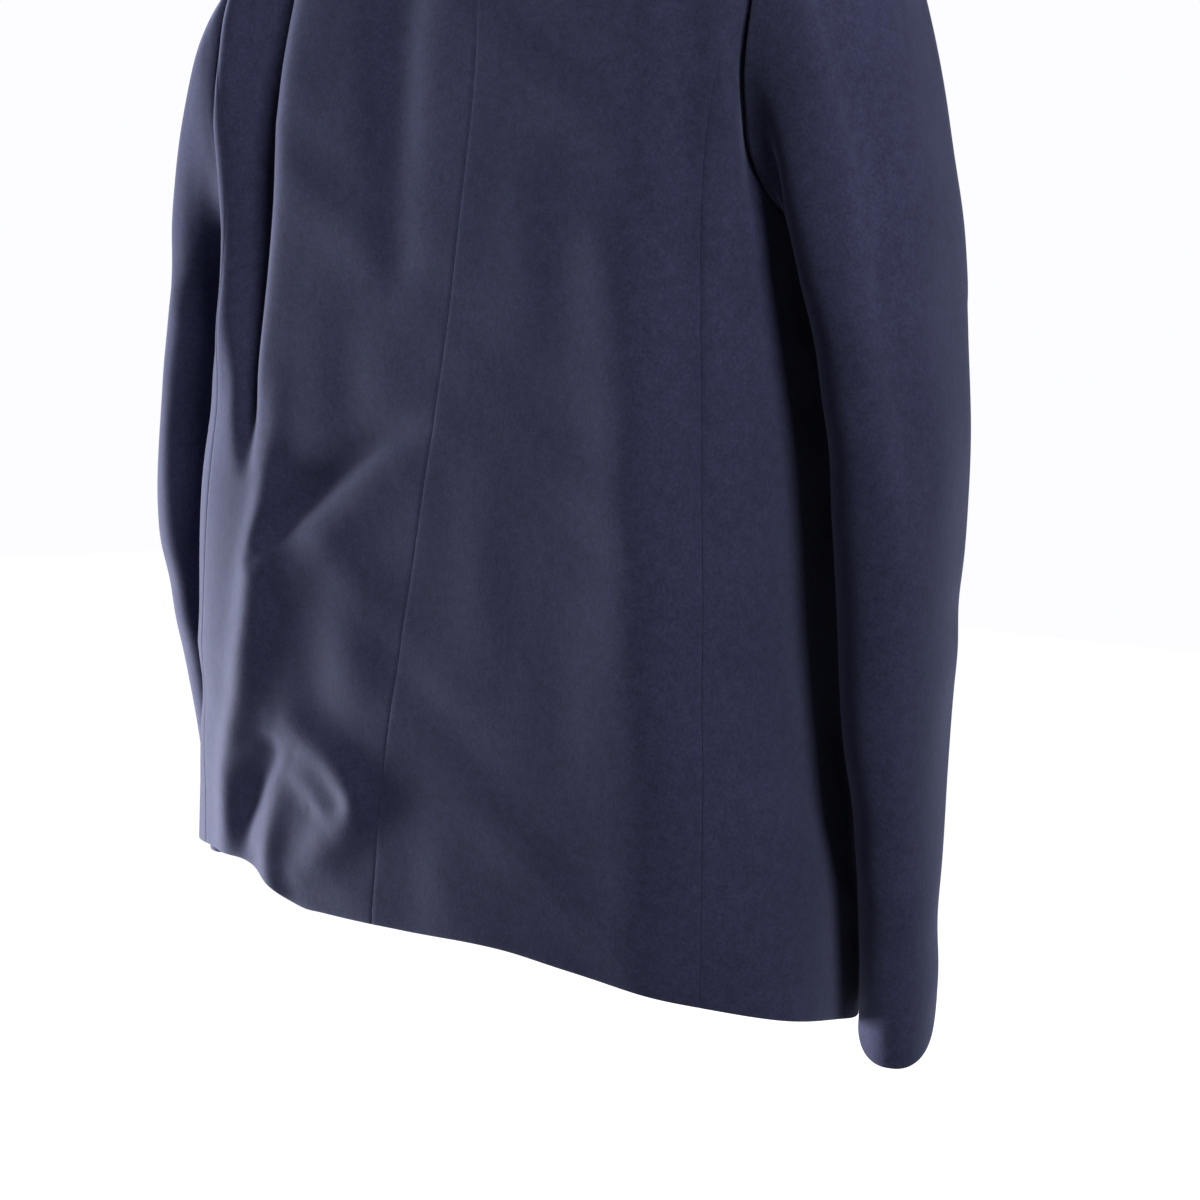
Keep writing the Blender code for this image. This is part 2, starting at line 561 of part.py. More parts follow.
def neck_path():
    """Turn, height, lift and the fall's end (turn, height) along the neck edge, right to left."""
    rows = []
    spread_x = NECK_SIDE_X + FALL_SIDE
    spread_height = float(shoulder_line(spread_x))
    for sign, side, start, stop, ends in (
            (-1, -1, COLLAR_END, np.pi / 2, False), (-1, 1, np.pi / 2, 0, False),
            (1, 1, 0, np.pi / 2, False), (1, -1, np.pi / 2, COLLAR_END, True)):
        angles = np.linspace(start, stop, NECK_COLUMNS + 1)[:None if ends else -1]
        share = np.sin(angles)
        x = sign * NECK_SIDE_X * share
        height = neck_edge(x, side)
        raised = smooth_step((LAP + LAP_MARGIN + LAP_EASE - np.abs(x)) / LAP_EASE)
        lift = LAP_LIFT * raised * (side < 0)
        if side > 0:
            end_x = sign * spread_x * share
            end_drop = spread_height - float(neck_edge(0, 1)) + FALL_BACK
        else:
            end_x = sign * (POINT_SPREAD + (spread_x - POINT_SPREAD) * share)
            end_drop = spread_height - float(neck_edge(0, -1)) + FALL_FRONT
        end_height = spread_height - end_drop * (1 - share**2)
        own_lift = lift * (sign < 0)
        rows.append(np.stack([turn_at(x, height, side), height, own_lift,
                              turn_at(end_x, end_height, side), end_height, lift], -1))
    return np.concatenate(rows).T


def collar_grids():
    """The two faces of the collar: its stand, its rolled fold and its fall, row by row."""
    turn, height, lift, end_turn, end_height, end_lift = neck_path()
    edge = body(turn, height, lift - CLOTH / 2)
    end = body(end_turn, end_height, end_lift + FALL_CLEARANCE)
    up = np.array([0.0, 0.0, 1.0])
    along = np.gradient(edge, axis=0)
    along[0, 1:], along[-1, 1:] = 0, 0
    along = unit(along)
    outward = unit(np.cross(up, along))
    normal = unit(body(turn, height, lift) - edge)
    into_neck = unit(np.cross(normal, along))
    into_neck *= np.where(np.sum(into_neck * (up - outward), 1, keepdims=True) > 0, 1, -1)
    base = edge + COLLAR_GAP * into_neck
    front_share = smooth_step((np.abs(np.degrees(turn) % 360 - 180) - 180) / -90)[:, None]
    stand = STAND_BACK + (STAND_FRONT - STAND_BACK) * front_share
    top = base + stand * (up - STAND_LEAN * outward)
    rows = []
    for t in np.linspace(0, 1, 5):
        rows.append((1 - t) ** 3 * base + t**3 * top
                    + 3 * (1 - t) ** 2 * t * (base + STAND_CURVE * stand * into_neck)
                    + 3 * (1 - t) * t**2 * (top - STAND_CURVE * stand * up))
    for angle in np.radians([120, 60, 0]):
        rows.append(top + ROLL_RADIUS * ((1 + np.cos(angle)) * outward + np.sin(angle) * up))
    rolled = rows[-1]
    width = np.linalg.norm(end - rolled, axis=1, keepdims=True)
    bend = (rolled + end) / 2 + FALL_BULGE * width * outward
    for t in np.linspace(0, 1, 6)[1:]:
        rows.append((1 - t) ** 2 * rolled + 2 * (1 - t) * t * bend + t**2 * end)
    middle = np.stack(rows)
    facing = unit(np.cross(np.gradient(middle, axis=0), np.gradient(middle, axis=1)))
    facing[0] = normal
    return middle + facing * CLOTH / 2, middle - facing * CLOTH / 2


def make_buttons():
    profile = ((0.0, 0.0), (0.86, 0.0), (1.0, 0.35), (1.0, 0.7), (0.88, 1.0), (0.70, 0.82),
               (0.0, 0.82))  # radius and height, in shares of the button's
    around = np.linspace(0, 2 * np.pi, 17)[:-1]
    for number, height in enumerate(BUTTON_HEIGHTS, start=1):
        seat = body(np.pi, height, LAP_LIFT + BUTTON_SEAT)
        facing = unit(body(np.pi, height, LAP_LIFT + 1 * MM) - body(np.pi, height, LAP_LIFT))
        level = np.array([1.0, 0.0, 0.0])
        across = unit(np.cross(facing, level))
        mesh = bpy.data.meshes.new(f"button_{number}")
        shape = bmesh.new()
        rings = []
        for radius, rise in profile:
            centre = seat + rise * BUTTON_THICKNESS * facing - [0, 0, NECK_HEIGHT]
            if radius == 0:
                rings.append([shape.verts.new(centre)])
                continue
            rings.append([shape.verts.new(centre + radius * BUTTON_RADIUS
                                          * (np.cos(a) * level + np.sin(a) * across))
                          for a in around])
        for low, high in zip(rings[:-1], rings[1:]):
            for i in range(len(around)):
                j = (i + 1) % len(around)
                corners = [low[i % len(low)], low[j % len(low)],
                           high[j % len(high)], high[i % len(high)]]
                shape.faces.new(list(dict.fromkeys(corners)))
        bmesh.ops.recalc_face_normals(shape, faces=shape.faces)
        shape.to_mesh(mesh)
        shape.free()
        finished_object(f"button_{number}", mesh, DARK_HORN)


for old in list(bpy.context.scene.objects):
    bpy.data.objects.remove(old, do_unlink=True)

make_panels()
make_sleeves()
outer_collar, inner_collar = collar_grids()
wall_object("collar", outer_collar, inner_collar, NAVY_WOOL)
make_buttons()
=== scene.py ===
"""A hip-length coat of dark navy felted wool, filled out as if worn, with nothing inside."""
import bpy
import numpy as np
from mathutils import Matrix, Vector


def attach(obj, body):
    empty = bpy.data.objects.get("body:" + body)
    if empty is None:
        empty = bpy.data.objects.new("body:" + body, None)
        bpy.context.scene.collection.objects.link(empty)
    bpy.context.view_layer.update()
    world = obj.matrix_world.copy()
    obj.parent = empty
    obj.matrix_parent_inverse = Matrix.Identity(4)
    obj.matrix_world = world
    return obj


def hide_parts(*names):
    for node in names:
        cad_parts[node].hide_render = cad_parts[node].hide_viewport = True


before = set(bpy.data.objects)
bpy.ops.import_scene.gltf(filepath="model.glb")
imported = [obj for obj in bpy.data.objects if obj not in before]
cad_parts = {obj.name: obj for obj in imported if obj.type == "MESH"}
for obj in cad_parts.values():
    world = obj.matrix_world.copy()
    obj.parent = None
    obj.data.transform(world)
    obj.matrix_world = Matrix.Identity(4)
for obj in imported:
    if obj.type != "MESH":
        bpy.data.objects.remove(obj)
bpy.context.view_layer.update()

# ==========================================================
# The two backs.  Felted wool about 2 mm thick, cut with a flare towards the hem and sewn
# together down the middle.  Each turns in along its seams and lies back on itself inside,
# pressed open; the hem is cut raw.
# ==========================================================
MM = 0.001
CLOTH = 2.2 * MM            # thickness of the felted wool
WEAVE_STEP = 3.0 * MM  # between the points of the cloth's surface
NECK_HEIGHT = 0.640         # heights below count from the level of the hem
SQUARENESS = 3.3            # exponent of the body's level sections: 2 is an oval

SHOULDER_START = 0.430      # height where the body begins to round over to the shoulders
SHOULDER_ROUND = 2.6
SHOULDER_Y = 0.010
SHOULDER_TIP_X, SHOULDER_TIP_HEIGHT = 0.180, 0.600
NECK_SIDE_X, NECK_SIDE_HEIGHT = 0.071, 0.645
NECK_RISE = 0.75            # slope of the surface that the neck edge is cut from
NECK_DROP_BACK, NECK_DROP_FRONT = 0.019, 0.072

# Level sections of the body: height, half width, depth behind and in front of the middle.
TORSO = (
    (-0.060, 0.214, 0.106, 0.104), (0.000, 0.212, 0.106, 0.104), (0.050, 0.208, 0.106, 0.103),
    (0.150, 0.192, 0.106, 0.101), (0.250, 0.186, 0.106, 0.100), (0.330, 0.179, 0.106, 0.100),
    (0.400, 0.176, 0.106, 0.100), (0.430, 0.183, 0.105, 0.100), (0.470, 0.196, 0.104, 0.099),
    (0.520, 0.208, 0.102, 0.096), (0.600, 0.222, 0.098, 0.086), (0.700, 0.230, 0.092, 0.076),
)
# The body's back corners stand out in a soft ridge, less so towards the hem.
CORNERS = ((58.0, 16.0, 0.013), (-58.0, 16.0, 0.008))           # turn, spread, height
CORNER_FADE = (  # height, share
    (-0.05, -0.6), (0.02, -0.5), (0.06, -0.15), (0.10, 0.45), (0.15, 1.0), (0.45, 1.0),
    (0.53, 0.4), (0.60, 0.1),
)
# The hem: turn around the body (degrees: 0 is the middle of the back, positive to the
# wearer's left, 180 the middle of the front) and height.
HEM = (
    (-180, -0.030), (-140, -0.036), (-103, -0.034), (-92, -0.023), (-79, -0.010),
    (-66, 0.0005), (-50, 0.0085), (-36, 0.0130), (0, 0.0110), (28, 0.009), (35, 0.0088),
    (40, 0.0120), (44, 0.0170), (48, 0.0220), (52, 0.0250), (58, 0.0255), (75, 0.018),
    (100, -0.004), (140, -0.024), (180, -0.030),
)
CENTRE_BACK = (  # height, distance to the wearer's left
    (-0.05, 0.020), (0.010, 0.020), (0.100, 0.0155), (0.200, 0.003), (0.300, -0.010),
    (0.400, -0.0205), (0.490, -0.023), (0.560, -0.012), (0.610, -0.003), (0.640, 0.0),
)
SIDE_BACK = (  # height, distance out from the middle
    (-0.050, 0.1716), (0.005, 0.1712), (0.059, 0.1695), (0.109, 0.1676), (0.159, 0.1648),
    (0.208, 0.1621), (0.257, 0.1590), (0.305, 0.1558), (0.352, 0.1525), (0.400, 0.1502),
    (0.446, 0.1530), (0.485, 0.1605), (0.508, 0.1662),
)
ARMHOLE_BACK = ((0.508, 0.1662), (0.530, 0.1665), (0.565, 0.1715), (0.600, 0.1800))
# Where a panel's lap and its part of the neck end along its top edge, from the middle out.
BACK_TOP = {"left": (0.0, 0.43), "right": (0.0, 0.5)}
BACK_SIZE = (0.21, 0.62)    # about its width and length

# Folds of the body: each runs through points (turn, height, width, height of the ridge),
# and one with a negative height is a trough.
FOLDS = (
    ("left armhole drape", (53.0, 0.610, 0.015, -0.004), (52.6, 0.530, 0.016, -0.024),
     (52.0, 0.440, 0.015, -0.025), (51.8, 0.370, 0.012, -0.020), (51.0, 0.310, 0.008, -0.011),
     (49.5, 0.250, 0.007, 0.0)),
    ("left armhole ridge", (60.0, 0.600, 0.010, 0.002), (59.5, 0.520, 0.010, 0.005),
     (59.0, 0.440, 0.010, 0.006), (58.5, 0.350, 0.010, 0.004), (58.5, 0.290, 0.010, 0.0)),
    ("left side swell", (66.0, 0.360, 0.020, 0.0), (66.0, 0.300, 0.022, 0.004),
     (66.0, 0.210, 0.022, 0.005), (66.0, 0.130, 0.022, 0.0)),
    ("left back ridge", (43.5, 0.320, 0.010, 0.0), (44.0, 0.275, 0.010, 0.002),
     (45.0, 0.236, 0.012, 0.005), (46.0, 0.200, 0.014, 0.007), (47.0, 0.155, 0.015, 0.007),
     (50.0, 0.115, 0.014, 0.006), (54.8, 0.075, 0.013, 0.005), (57.5, 0.020, 0.014, 0.003)),
    ("drag line", (0.0, 0.284, 0.009, -0.001), (15.0, 0.276, 0.009, -0.004),
     (29.0, 0.258, 0.010, -0.007), (37.5, 0.240, 0.010, -0.008), (43.0, 0.223, 0.009, -0.007),
     (46.0, 0.208, 0.007, -0.003)),
    ("drag line lower edge", (8.0, 0.258, 0.014, 0.001), (25.0, 0.233, 0.014, 0.003),
     (38.0, 0.205, 0.014, 0.002)),
    ("hem dent", (42.5, 0.106, 0.008, 0.0), (44.0, 0.093, 0.008, -0.004),
     (47.5, 0.078, 0.009, -0.006), (50.3, 0.062, 0.009, -0.006), (52.0, 0.046, 0.008, -0.004),
     (52.8, 0.028, 0.008, 0.0)),
    ("hem bulge", (42.0, 0.114, 0.012, 0.001), (34.0, 0.107, 0.013, 0.0045),
     (24.5, 0.095, 0.013, 0.0065), (17.5, 0.078, 0.013, 0.0075), (20.5, 0.062, 0.013, 0.006),
     (27.0, 0.048, 0.013, 0.004), (35.0, 0.032, 0.012, 0.002)),
    ("hem bulge middle", (38.0, 0.092, 0.011, 0.001), (33.5, 0.084, 0.012, 0.0035),
     (28.5, 0.072, 0.012, 0.0035), (29.5, 0.060, 0.011, 0.001)),
    ("hem fold", (38.5, 0.083, 0.010, 0.001), (42.3, 0.065, 0.010, 0.002),
     (43.8, 0.048, 0.010, 0.003), (44.2, 0.030, 0.011, 0.004), (43.5, 0.008, 0.011, 0.004)),
    ("lower back swell", (26.0, 0.215, 0.022, 0.001), (22.5, 0.170, 0.026, 0.004),
     (20.0, 0.125, 0.020, 0.001)),
    ("right back ridge", (-48.0, 0.370, 0.022, 0.004), (-54.0, 0.197, 0.024, 0.006),
     (-58.0, 0.010, 0.026, 0.004)),
    ("right blade trough", (-54.0, 0.540, 0.014, -0.004), (-59.0, 0.300, 0.010, -0.003)),
    ("right armhole drape", (-62.5, 0.570, 0.014, 0.0), (-63.4, 0.530, 0.012, -0.005),
     (-64.2, 0.495, 0.012, -0.013), (-65.2, 0.460, 0.011, -0.019), (-66.8, 0.438, 0.010, -0.017),
     (-68.0, 0.415, 0.009, -0.008), (-69.5, 0.390, 0.009, 0.0)),
    ("blade trough", (17.0, 0.560, 0.018, -0.001), (16.0, 0.507, 0.018, -0.004),
     (11.0, 0.370, 0.014, -0.002)),
    ("right front swell", (-113.0, 0.230, 0.030, 0.0), (-113.0, 0.140, 0.032, 0.003),
     (-113.0, 0.050, 0.032, 0.005), (-113.0, -0.040, 0.032, 0.005)),
    ("left front drape", (129.0, 0.510, 0.015, -0.006), (132.0, 0.340, 0.012, -0.003)),
    ("right front drape", (-128.0, 0.505, 0.015, -0.006), (-131.0, 0.320, 0.012, -0.003)),
    ("left front ridge", (150.0, 0.300, 0.020, 0.004), (146.0, 0.000, 0.026, 0.006)),
    ("right front ridge", (-147.0, 0.330, 0.020, 0.004), (-142.0, 0.000, 0.026, 0.006)),
)


def curve(t, start, leave, end, arrive):
    """A smooth curve from start to end that leaves and arrives with these slopes."""
    return ((2 * t**3 - 3 * t**2 + 1) * start + (t**3 - 2 * t**2 + t) * leave
            + (3 * t**2 - 2 * t**3) * end + (t**3 - t**2) * arrive)


def read(table, column, at):
    """Value of a table's column at a place in its first column, joined by a smooth curve."""
    rows = np.asarray(table, float)
    place, value = rows[:, 0], rows[:, column]
    slope = np.gradient(value, place)
    at = np.clip(np.asarray(at, float), place[0], place[-1])
    low = np.clip(np.searchsorted(place, at, side="right") - 1, 0, len(place) - 2)
    width = place[low + 1] - place[low]
    return curve((at - place[low]) / width, value[low], width * slope[low],
                 value[low + 1], width * slope[low + 1])


def smooth_step(t):
    t = np.clip(t, 0.0, 1.0)
    return t * t * (3 - 2 * t)


def unit(vectors):
    return vectors / np.linalg.norm(vectors, axis=-1, keepdims=True)


def shoulder_line(x):
    """Height of the line on which the back and the front meet, on over the neck."""
    x = np.abs(x)
    slope = (NECK_SIDE_HEIGHT - SHOULDER_TIP_HEIGHT) / (SHOULDER_TIP_X - NECK_SIDE_X)
    outer = NECK_SIDE_HEIGHT - slope * (x - NECK_SIDE_X)
    return np.where(x > NECK_SIDE_X, outer, NECK_SIDE_HEIGHT + NECK_RISE * (NECK_SIDE_X - x))


def neck_edge(x, side):
    """Height of the cut neck edge; side is 1 behind and -1 in front."""
    share = np.clip(np.abs(x) / NECK_SIDE_X, 0, 1)
    return NECK_SIDE_HEIGHT - (NECK_DROP_BACK if side > 0 else NECK_DROP_FRONT) * (1 - share**2)


def plain_body(turn, height):
    """The body surface without its folds; turn in radians."""
    wide, back, front = (read(TORSO, column, height) for column in (1, 2, 3))
    sine, cosine = np.sin(turn), np.cos(turn)
    deep = np.where(cosine > 0, back, front)
    reach = ((np.abs(sine) / wide) ** SQUARENESS + (np.abs(cosine) / deep) ** SQUARENESS)
    reach = reach ** (-1 / SQUARENESS)
    for at, spread, out in CORNERS:
        near = np.exp(-((np.degrees(turn) - at) / spread) ** 2)
        reach = reach + out * near * np.interp(height, *np.transpose(CORNER_FADE))
    x, y = reach * sine, reach * cosine
    top = shoulder_line(x)
    over = height > top
    height = np.where(over, 2 * top - height, height)
    climb = np.clip((height - SHOULDER_START) / (top - SHOULDER_START), 0, 1)
    close = (1 - climb**SHOULDER_ROUND) ** (1 / SHOULDER_ROUND) * np.where(over, -1, 1)
    return np.stack([x, SHOULDER_Y + (y - SHOULDER_Y) * close, height], -1)


# No cloth lies quite smooth: shallow waves run over it, bent by a longer one.
WAVES = (  # direction, length, start, height
    ((0.80, 0.30, 0.52), 0.083, 0.4, 0.30 * MM), ((-0.50, 0.40, 0.77), 0.061, 1.9, 0.22 * MM),
    ((0.20, -0.60, 0.77), 0.140, 3.1, 0.40 * MM), ((0.90, -0.20, 0.38), 0.047, 5.0, 0.14 * MM),
)
WAVE_BEND, BEND_LENGTH, BEND_ALONG = 1.7, 0.190, (1.0, 0.6, -1.0)


def ripple(here):
    """Height of the shallow waves at these points."""
    bend = WAVE_BEND * np.sin(2 * np.pi * (here @ np.array(BEND_ALONG)) / BEND_LENGTH)
    return sum(height * np.sin(2 * np.pi * (here @ np.array(direction)) / length + start + bend)
               for direction, length, start, height in WAVES)


FOLD_STEPS = 25             # points along the smooth path of a fold
FOLD_REACH = 3              # a fold has died out this many of its widths away
fold_paths = []
for name, *points in FOLDS:
    rows = np.array(points)
    at = np.linspace(0, len(rows) - 1, FOLD_STEPS)
    row_table = np.column_stack([np.arange(len(rows)), rows])
    turn, height, width, rise = (read(row_table, column, at) for column in (1, 2, 3, 4))
    fold_paths.append((plain_body(np.radians(turn), height), width, rise))


def fold_height(here):
    """How far the folds lift the cloth at these points of the plain body."""
    lift = np.array(ripple(here))       # a copy that the folds are added to
    for path, widths, rises in fold_paths:
        reach = FOLD_REACH * widths.max()
        near = np.all((here > path.min(0) - reach) & (here < path.max(0) + reach), axis=-1)
        if not near.any():
            continue
        points = here[near]
        best = np.full(len(points), np.inf)
        width, rise = np.zeros(len(points)), np.zeros(len(points))
        for i, (start, end) in enumerate(zip(path[:-1], path[1:])):
            along = end - start
            share = np.clip(((points - start) @ along) / (along @ along), 0, 1)
            away = np.linalg.norm(points - (start + share[:, None] * along), axis=-1)
            closer = away < best
            best = np.where(closer, away, best)
            width = np.where(closer, widths[i] + (widths[i + 1] - widths[i]) * share, width)
            rise = np.where(closer, rises[i] + (rises[i + 1] - rises[i]) * share, rise)
        lift[near] += rise * np.exp(-(best / width) ** 2)
    return lift


def body(turn, height, out=0.0):
    """A point of the body's outer face, or one moved out from it."""
    turn, height = np.broadcast_arrays(np.asarray(turn, float), np.asarray(height, float))
    step_turn, step_height = 0.01, 1.0 * MM

    def normal_of(surface):
        around = surface(turn + step_turn, height) - surface(turn - step_turn, height)
        up = surface(turn, height + step_height) - surface(turn, height - step_height)
        return unit(np.cross(up, around))

    plain_normal = normal_of(plain_body)

    def folded(at_turn, at_height):
        plain = plain_body(at_turn, at_height)
        return plain + fold_height(plain)[..., None] * plain_normal

    return folded(turn, height) + np.asarray(out)[..., None] * normal_of(folded)


HALVINGS, CLOSINGS = 7, 7   # steps of the search: by halves, then by the slope between


def turn_at(x, height, side):
    """Turn at which the body lies x from the middle, behind (side 1) or in front (-1)."""
    x, height = np.broadcast_arrays(np.asarray(x, float), np.asarray(height, float))
    low, high = np.full(x.shape, -np.pi / 2), np.full(x.shape, np.pi / 2)
    low_miss, high_miss = (plain_body(turn if side > 0 else np.pi - turn, height)[..., 0] - x
                           for turn in (low, high))
    middle = (low + high) / 2
    for step in range(HALVINGS + CLOSINGS):
        miss = plain_body(middle if side > 0 else np.pi - middle, height)[..., 0] - x
        over = miss > 0
        low, low_miss = np.where(over, low, middle), np.where(over, low_miss, miss)
        high, high_miss = np.where(over, middle, high), np.where(over, miss, high_miss)
        if step < HALVINGS:
            middle = (low + high) / 2
        else:
            middle = low + (high - low) * np.clip(-low_miss / (high_miss - low_miss), 0.02, 0.98)
    return middle if side > 0 else np.pi - middle


def hem_height(turn):
    return read(HEM, 1, (np.degrees(turn) + 180) % 360 - 180)


def top_place(share, lap, lap_end, neck_end):
    """Distance out from the middle along a panel's top edge: lap, neck, then shoulder."""
    over_lap = -lap + lap * share / max(lap_end, 1e-6)
    over_neck = NECK_SIDE_X * np.sin(np.pi / 2 * (share - lap_end) / (neck_end - lap_end))
    over_shoulder = (NECK_SIDE_X + (SHOULDER_TIP_X - NECK_SIDE_X)
                     * (share - neck_end) / (1 - neck_end))
    return np.where(share < lap_end, over_lap,
                    np.where(share < neck_end, over_neck, over_shoulder))


def large_panel(word, side, seam, hole, inner_edge, lap, top_shares):
    """Finds places on a back (side 1) or a front (side -1) by share across and climb up it."""
    sign = 1 if word == "left" else -1
    corner = seam[-1][0]

    def inner_x(height):
        return read(inner_edge, 1, height) if side > 0 else np.full(np.shape(height), -sign * lap)

    def outer_x(height):
        return sign * np.where(height < corner, read(seam, 1, height), read(hole, 1, height))

    def across(share, height):
        return inner_x(height) + share * (outer_x(height) - inner_x(height))

    corner_hem = hem_height(turn_at(outer_x(np.array(0.0)), 0.0, side))
    corner_climb = (corner - corner_hem) / (SHOULDER_TIP_HEIGHT - corner_hem)

    def place(share, climb):
        clamped = np.clip(share, 0, 1)
        top_x = sign * top_place(clamped, lap, *top_shares)
        bottom = hem_height(turn_at(across(share, np.zeros(share.shape)), 0.0, side))
        top = np.where(np.abs(top_x) < NECK_SIDE_X, neck_edge(top_x, side), shoulder_line(top_x))
        height = bottom + climb * (top - bottom)
        draw = smooth_step((climb - corner_climb) / (1 - corner_climb))
        x = across(share, height) + draw * (top_x - across(clamped, top))
        return turn_at(x, height, side), height

    return place


def on_body(place, lift=None):
    """The surface of a piece that lies on the body, or raised off it by lift."""
    def surface(share, climb, out):
        turn, height = place(share, climb)
        return body(turn, height, out + (lift(turn, height) if lift else 0.0))

    return surface


# An edge, as rows of distance in from the edge and depth below the outer face, first for
# the cloth's outer face and then for its inner face, from the panel's middle outwards.
TURNED_RADIUS = 0.5 * MM    # how round the cloth turns in at a seam
SEAM_GAP = 0.03 * MM        # half the gap between two pieces
TURNING_SPACE = 0.3 * MM    # between the cloth and its own turning
TURNED_DEPTH = 2 * CLOTH + TURNING_SPACE
CREASE, CREASE_ROUND = 2.0 * MM, 0.6 * MM       # the crease inside: distance in, rounding
CREASE_OPENS = 0.03 * MM
TURNING_STEPS = (0.005, 0.0085, 0.012)          # distances in; the last is its cut edge
RAW_ROUND = 1.0 * MM
RAW_ANGLES = np.radians([0, 30, 58, 80])

turned_edge = [(SEAM_GAP + TURNED_RADIUS * (1 - np.sin(angle)), TURNED_RADIUS * (1 - np.cos(angle)),
                CREASE + CREASE_ROUND * (1 - np.sin(angle)), CLOTH + CREASE_OPENS * angle)
               for angle in np.radians([0, 30, 60, 90])]
turned_edge += [(outer_in, TURNED_DEPTH - outer_depth, inner_in, TURNED_DEPTH - inner_depth)
                for outer_in, outer_depth, inner_in, inner_depth in turned_edge[::-1]]
turned_edge += [(distance, TURNED_DEPTH, distance, TURNED_DEPTH - CLOTH)
                for distance in TURNING_STEPS]
turned_edge = np.array(turned_edge)
raw_edge = np.array([(RAW_ROUND * (1 - np.sin(angle)), CLOTH / 2 * (1 - np.cos(angle)),
                      RAW_ROUND * (1 - np.sin(angle)), CLOTH / 2 * (1 + np.cos(angle)))
                     for angle in RAW_ANGLES])
# The raw rim at the hem and the top: distance in from it and share of the thickness.
RIM = np.array([(RAW_ROUND * (1 - np.sin(angle)), np.cos(angle)) for angle in RAW_ANGLES[::-1]])


def cloth_faces(surface, first, last, columns, rows):
    """Outer and inner points of a piece of cloth: rows up, columns across.

    surface(share, climb, out) gives its points; first and last are the edges across.
    """
    climbs, weights = np.linspace(0, 1, rows)[1:-1], np.linspace(0, 1, columns)[1:-1]
    probes = np.linspace(0, 1, 41)
    step = 0.02

    def scale(fixed, across):
        """Metres for a whole share, next to the edge at fixed, at each place along it."""
        inside = fixed + (step if fixed == 0 else -step)
        pair = [surface(np.full(probes.shape, at), probes, 0.0) if across
                else surface(probes, np.full(probes.shape, at), 0.0) for at in (fixed, inside)]
        return np.linalg.norm(pair[0] - pair[1], axis=-1) / step

    climb_scales = [scale(end, False) for end in (0, 1)]
    share_scales = [scale(end, True) for end in (0, 1)]
    row_climb = np.concatenate([np.zeros(len(RIM)), climbs, np.ones(len(RIM))])
    first_scale, last_scale = (np.interp(row_climb, probes, at_edge)[:, None]
                               for at_edge in share_scales)
    thin = np.concatenate([RIM[:, 1], np.ones(rows - 2), RIM[::-1, 1]])[:, None]
    faces = []
    for face in (0, 1):
        left = first[::-1, 2 * face] / first_scale
        right = 1 - last[:, 2 * face] / last_scale
        middle = left[:, -1:] + weights * (right[:, :1] - left[:, -1:])
        share = np.concatenate([left, middle, right], axis=1)
        low_scale, high_scale = (np.interp(share, probes, at_edge) for at_edge in climb_scales)
        low = RIM[:, :1] / low_scale[:len(RIM)]
        high = 1 - RIM[::-1, :1] / high_scale[-len(RIM):]
        body_rows = low[-1] + climbs[:, None] * (high[0] - low[-1])
        climb = np.concatenate([low, body_rows, high], axis=0)
        depths = [np.concatenate([first[::-1, 2 * k + 1], np.full(len(weights), k * CLOTH),
                                  last[:, 2 * k + 1]]) for k in (0, 1)]
        middle_depth, half = (depths[0] + depths[1]) / 2, (depths[1] - depths[0]) / 2
        depth = middle_depth + (1 if face else -1) * half * thin
        faces.append(surface(share, climb, -depth))
    return faces


def placed(name, points, faces, finish, slot):
    """Makes the object of one piece of the coat and puts it on the coat."""
    mesh = bpy.data.meshes.new(name)
    mesh.from_pydata(points.tolist(), [], faces)
    mesh.shade_smooth()
    piece = bpy.data.objects.new(name, mesh)
    bpy.context.scene.collection.objects.link(piece)
    mesh.materials.append(finish)
    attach(piece, "root")
    return piece


def cloth_piece(name, faces, finish, node):
    """Makes the closed wall of cloth between two grids of points."""
    outer, inner = faces
    rows, columns = outer.shape[:2]
    points = np.concatenate([outer.reshape(-1, 3), inner.reshape(-1, 3)])
    points[:, 2] -= NECK_HEIGHT
    front = np.arange(rows * columns).reshape(rows, columns)
    back = front + rows * columns

    def quads(*corners):
        return np.stack(corners, -1).reshape(-1, 4)

    faces = np.concatenate([
        quads(front[:-1, :-1], front[:-1, 1:], front[1:, 1:], front[1:, :-1]),
        quads(back[1:, :-1], back[1:, 1:], back[:-1, 1:], back[:-1, :-1]),
        quads(front[0, 1:], front[0, :-1], back[0, :-1], back[0, 1:]),
        quads(front[-1, :-1], front[-1, 1:], back[-1, 1:], back[-1, :-1]),
        quads(front[:-1, 0], front[1:, 0], back[1:, 0], back[:-1, 0]),
        quads(front[1:, -1], front[:-1, -1], back[:-1, -1], back[1:, -1])])
    middle = rows // 2, columns // 2
    quad = points[faces[middle[0] * (columns - 1) + middle[1]]]
    if np.cross(quad[1] - quad[0], quad[3] - quad[0]) @ (outer[middle] - inner[middle]) < 0:
        faces = faces[:, ::-1]
    piece = placed(name, points, faces.tolist(), finish, "wool")
    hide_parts(node)
    return piece


def flat_size(outer):
    """Width, length and area of the cut: along its widest row and its longest column."""
    wide = np.linalg.norm(np.diff(outer, axis=1), axis=-1).sum(1).max()
    long = np.linalg.norm(np.diff(outer, axis=0), axis=-1).sum(0).max()
    a, b, c = outer[:-1, :-1], outer[:-1, 1:], outer[1:, :-1]
    area = np.linalg.norm(np.cross(b - a, c - a), axis=-1).sum()
    return float(wide), float(long), float(area)


# ---- the felted wool itself: a short matted nap with a slight bluish bloom ----
def set_inputs(node, **values):
    """Sets a node's plain inputs; a name's underlines stand for spaces."""
    for name, value in values.items():
        node.inputs[name.replace("_", " ")].default_value = value


